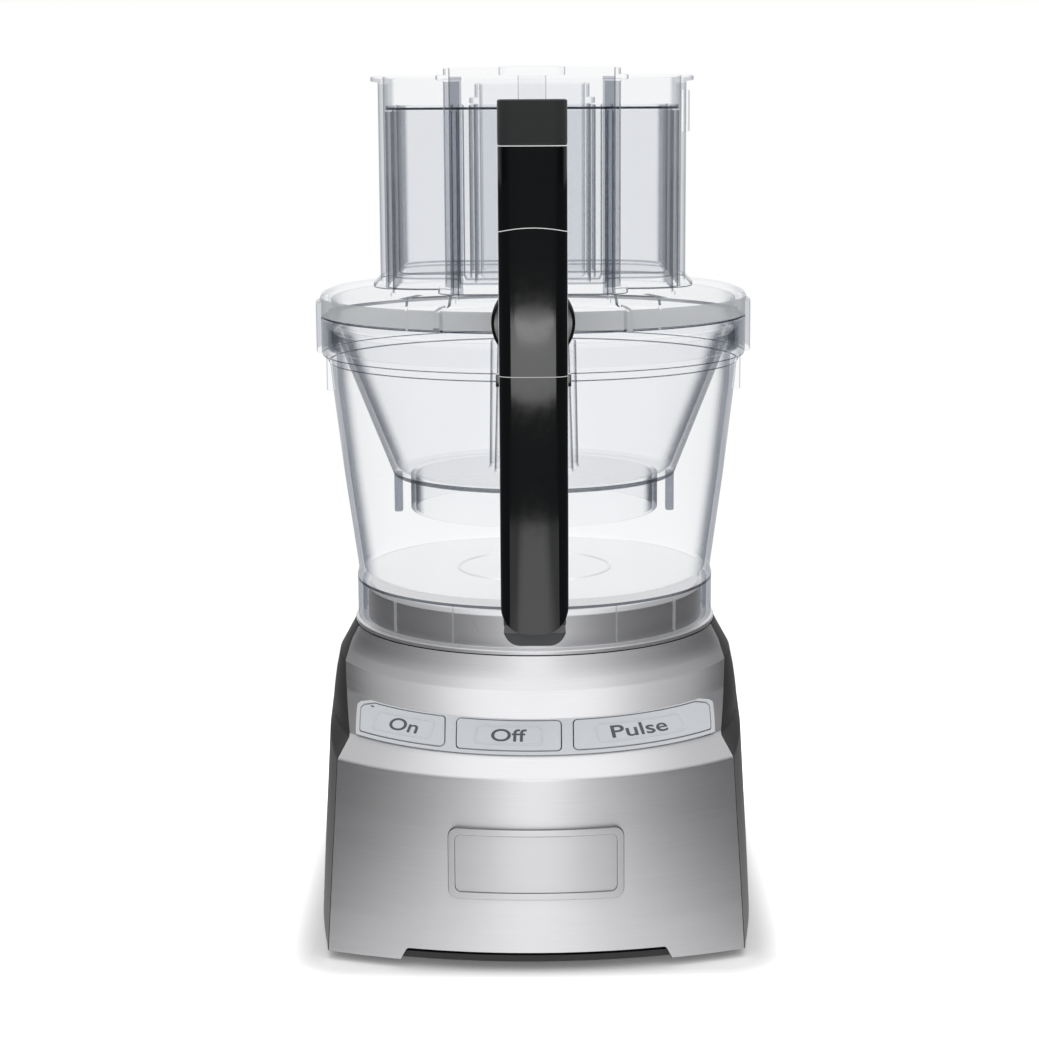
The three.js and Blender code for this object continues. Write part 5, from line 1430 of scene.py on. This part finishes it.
def light_only(lamp, slots):
    """Lets a lamp reach only the pieces with these finishes."""
    group = bpy.data.collections.new(f"{lamp.name}_reaches")
    for obj in list(bpy.data.objects):
        if obj.type == "MESH" and obj.data.materials and any(
                made and made.name in slots for made in obj.data.materials):
            group.objects.link(obj)
    lamp.light_linking.receiver_collection = group


def make_camera():
    settle()
    bpy.ops.object.camera_add()
    camera = bpy.context.object
    camera.name = "camera"
    pitch, roll = math.radians(90 - 10.1), math.radians(-0.3)
    camera.matrix_world = (Matrix.Translation((0, -1.130, 0.3855)) @ Matrix.Rotation(pitch, 4, "X")
                           @ Matrix.Rotation(roll, 4, "Z"))
    camera.data.sensor_width = 36
    camera.data.lens = 79.87
    camera.data.shift_x = -0.0142
    camera.data.clip_start = 0.01
    bpy.context.scene.camera = camera


def make_stage():
    make_camera()
    make_floor()
    make_world()
    area_light("overhead", 1.5, 1.5, (0, -0.1, 1.5), (0, 0, 0), 5)
    fronts = ("brushed_stainless", "satin_stainless", "painted_polycarbonate")
    turn = (math.radians(70), 0, math.radians(-3))
    wide = area_light("front_wide", 1.0, 1.2, (-0.08, -1.7, 0.7), turn, 1.2)
    narrow = area_light("front_narrow", 0.6, 0.9, (0, -1.5, 0.45), (math.radians(76), 0, 0), 2.0)
    for lamp in (wide, narrow):
        light_only(lamp, fronts)
    gleam = area_light("gleam", 0.7, 0.072, (0, -1.15, 0.169), (math.radians(96), 0, 0), 0.25)
    crest = area_light("gleam_crest", 0.6, 0.03, (0, -1.15, 0.201), (math.radians(96), 0, 0), 0.06)
    crest.data.shape = "ELLIPSE"
    for lamp in (gleam, crest):
        light_only(lamp, ("polished_abs",))
    dark = (0.06, 0.06, 0.063)
    for side, sign in (("right", 1), ("left", -1)):
        card(f"flag_{side}", 1.4, 0.34, (sign * 0.42, -0.1, 0.17), (math.pi / 2, 0, math.pi / 2), dark)
    scene = bpy.context.scene
    scene.view_settings.view_transform = "Standard"
    scene.cycles.max_bounces = 16
    scene.cycles.glossy_bounces = 6
    scene.cycles.diffuse_bounces = 4
    scene.cycles.transparent_max_bounces = 64
    scene.cycles.use_denoising = True


# ---------------------------------------------------------------- operators


class PROCESSOR_OT_front_cover(bpy.types.Operator):
    """Bend, cut and finish the brushed steel cover"""

    bl_idname = "processor.front_cover"
    bl_label = "Front cover"
    bl_options = {"REGISTER", "UNDO"}

    def execute(self, context):
        make_front_cover()
        return {"FINISHED"}


class PROCESSOR_OT_rear_housing(bpy.types.Operator):
    """Make the dark shell of the sides and the rear"""

    bl_idname = "processor.rear_housing"
    bl_label = "Rear housing"
    bl_options = {"REGISTER", "UNDO"}

    def execute(self, context):
        make_rear_housing()
        return {"FINISHED"}


class PROCESSOR_OT_platform(bpy.types.Operator):
    """Spin the steel pedestal that the bowl stands on"""

    bl_idname = "processor.platform"
    bl_label = "Pedestal"
    bl_options = {"REGISTER", "UNDO"}

    def execute(self, context):
        make_platform()
        return {"FINISHED"}


class PROCESSOR_OT_panel(bpy.types.Operator):
    """Make the strip on the slope"""

    bl_idname = "processor.panel"
    bl_label = "Control strip"
    bl_options = {"REGISTER", "UNDO"}

    def execute(self, context):
        make_panel()
        return {"FINISHED"}


class PROCESSOR_OT_keys(bpy.types.Operator):
    """Make the three keys with their frames and lettering"""

    bl_idname = "processor.keys"
    bl_label = "Keys"
    bl_options = {"REGISTER", "UNDO"}

    def execute(self, context):
        make_keys()
        return {"FINISHED"}


class PROCESSOR_OT_badge(bpy.types.Operator):
    """Make the bare badge plate"""

    bl_idname = "processor.badge"
    bl_label = "Badge"
    bl_options = {"REGISTER", "UNDO"}

    def execute(self, context):
        make_badge()
        return {"FINISHED"}


class PROCESSOR_OT_feet(bpy.types.Operator):
    """Spin one rubber foot and copy it"""

    bl_idname = "processor.feet"
    bl_label = "Feet"
    bl_options = {"REGISTER", "UNDO"}

    def execute(self, context):
        make_feet()
        return {"FINISHED"}


class PROCESSOR_OT_gland(bpy.types.Operator):
    """Spin the rubber gland at the rear"""

    bl_idname = "processor.gland"
    bl_label = "Gland"
    bl_options = {"REGISTER", "UNDO"}

    def execute(self, context):
        make_gland()
        return {"FINISHED"}


class PROCESSOR_OT_drive(bpy.types.Operator):
    """Finish the motor, the gears and the base plate"""

    bl_idname = "processor.drive"
    bl_label = "Drive"
    bl_options = {"REGISTER", "UNDO"}

    def execute(self, context):
        finish_drive()
        return {"FINISHED"}


class PROCESSOR_OT_work_bowl(bpy.types.Operator):
    """Spin the clear work bowl and add its ribs"""

    bl_idname = "processor.work_bowl"
    bl_label = "Work bowl"
    bl_options = {"REGISTER", "UNDO"}

    def execute(self, context):
        make_work_bowl()
        return {"FINISHED"}


class PROCESSOR_OT_inner_bowl(bpy.types.Operator):
    """Spin the second clear bowl and add its legs"""

    bl_idname = "processor.inner_bowl"
    bl_label = "Second bowl"
    bl_options = {"REGISTER", "UNDO"}

    def execute(self, context):
        make_inner_bowl()
        return {"FINISHED"}


class PROCESSOR_OT_lid(bpy.types.Operator):
    """Make the clear lid with its feed tube and lugs"""

    bl_idname = "processor.lid"
    bl_label = "Lid"
    bl_options = {"REGISTER", "UNDO"}

    def execute(self, context):
        make_lid()
        return {"FINISHED"}


class PROCESSOR_OT_sleeve(bpy.types.Operator):
    """Make the clear sleeve round the feed tube"""

    bl_idname = "processor.sleeve"
    bl_label = "Sleeve"
    bl_options = {"REGISTER", "UNDO"}

    def execute(self, context):
        make_sleeve()
        return {"FINISHED"}


class PROCESSOR_OT_pushers(bpy.types.Operator):
    """Make the large and the small clear pusher"""

    bl_idname = "processor.pushers"
    bl_label = "Pushers"
    bl_options = {"REGISTER", "UNDO"}

    def execute(self, context):
        make_large_pusher()
        make_small_pusher()
        return {"FINISHED"}


class PROCESSOR_OT_handles(bpy.types.Operator):
    """Make the three lengths of the handle and the lock"""

    bl_idname = "processor.handles"
    bl_label = "Handles"
    bl_options = {"REGISTER", "UNDO"}

    def execute(self, context):
        make_bowl_handle()
        make_lid_handle()
        make_sleeve_handle()
        make_lock()
        return {"FINISHED"}


class PROCESSOR_OT_handle_foot(bpy.types.Operator):
    """Make the clear foot under the handle"""

    bl_idname = "processor.handle_foot"
    bl_label = "Handle foot"
    bl_options = {"REGISTER", "UNDO"}

    def execute(self, context):
        make_handle_foot()
        return {"FINISHED"}


class PROCESSOR_OT_stage(bpy.types.Operator):
    """Make the camera, the floor, the lamps and the surroundings"""

    bl_idname = "processor.stage"
    bl_label = "Stage"
    bl_options = {"REGISTER", "UNDO"}

    def execute(self, context):
        make_stage()
        return {"FINISHED"}


STEPS = [
    PROCESSOR_OT_front_cover,
    PROCESSOR_OT_rear_housing,
    PROCESSOR_OT_platform,
    PROCESSOR_OT_panel,
    PROCESSOR_OT_keys,
    PROCESSOR_OT_badge,
    PROCESSOR_OT_feet,
    PROCESSOR_OT_gland,
    PROCESSOR_OT_drive,
    PROCESSOR_OT_work_bowl,
    PROCESSOR_OT_inner_bowl,
    PROCESSOR_OT_lid,
    PROCESSOR_OT_sleeve,
    PROCESSOR_OT_pushers,
    PROCESSOR_OT_handles,
    PROCESSOR_OT_handle_foot,
    PROCESSOR_OT_stage,
]


class PROCESSOR_PT_build(bpy.types.Panel):
    """Lists the steps of the build and the settings."""

    bl_label = "Food processor"
    bl_space_type = "VIEW_3D"
    bl_region_type = "UI"
    bl_category = "Processor"

    def draw(self, context):
        for operator in STEPS:
            self.layout.operator(operator.bl_idname)
        for settings in (context.scene.processor_sizes, context.scene.processor_colours):
            for name in settings.bl_rna.properties.keys():
                if name not in ("rna_type", "name"):
                    self.layout.prop(settings, name)


CLASSES = [ProcessorSizes, ProcessorColours, *STEPS, PROCESSOR_PT_build]


def register():
    for item in CLASSES:
        bpy.utils.register_class(item)
    bpy.types.Scene.processor_sizes = bpy.props.PointerProperty(type=ProcessorSizes)
    bpy.types.Scene.processor_colours = bpy.props.PointerProperty(type=ProcessorColours)


def unregister():
    del bpy.types.Scene.processor_colours
    del bpy.types.Scene.processor_sizes
    for item in reversed(CLASSES):
        bpy.utils.unregister_class(item)


def main():
    register()
    for operator in STEPS:
        group, name = operator.bl_idname.split(".")
        getattr(getattr(bpy.ops, group), name)()
    settle()


if __name__ == "__main__":
    main()
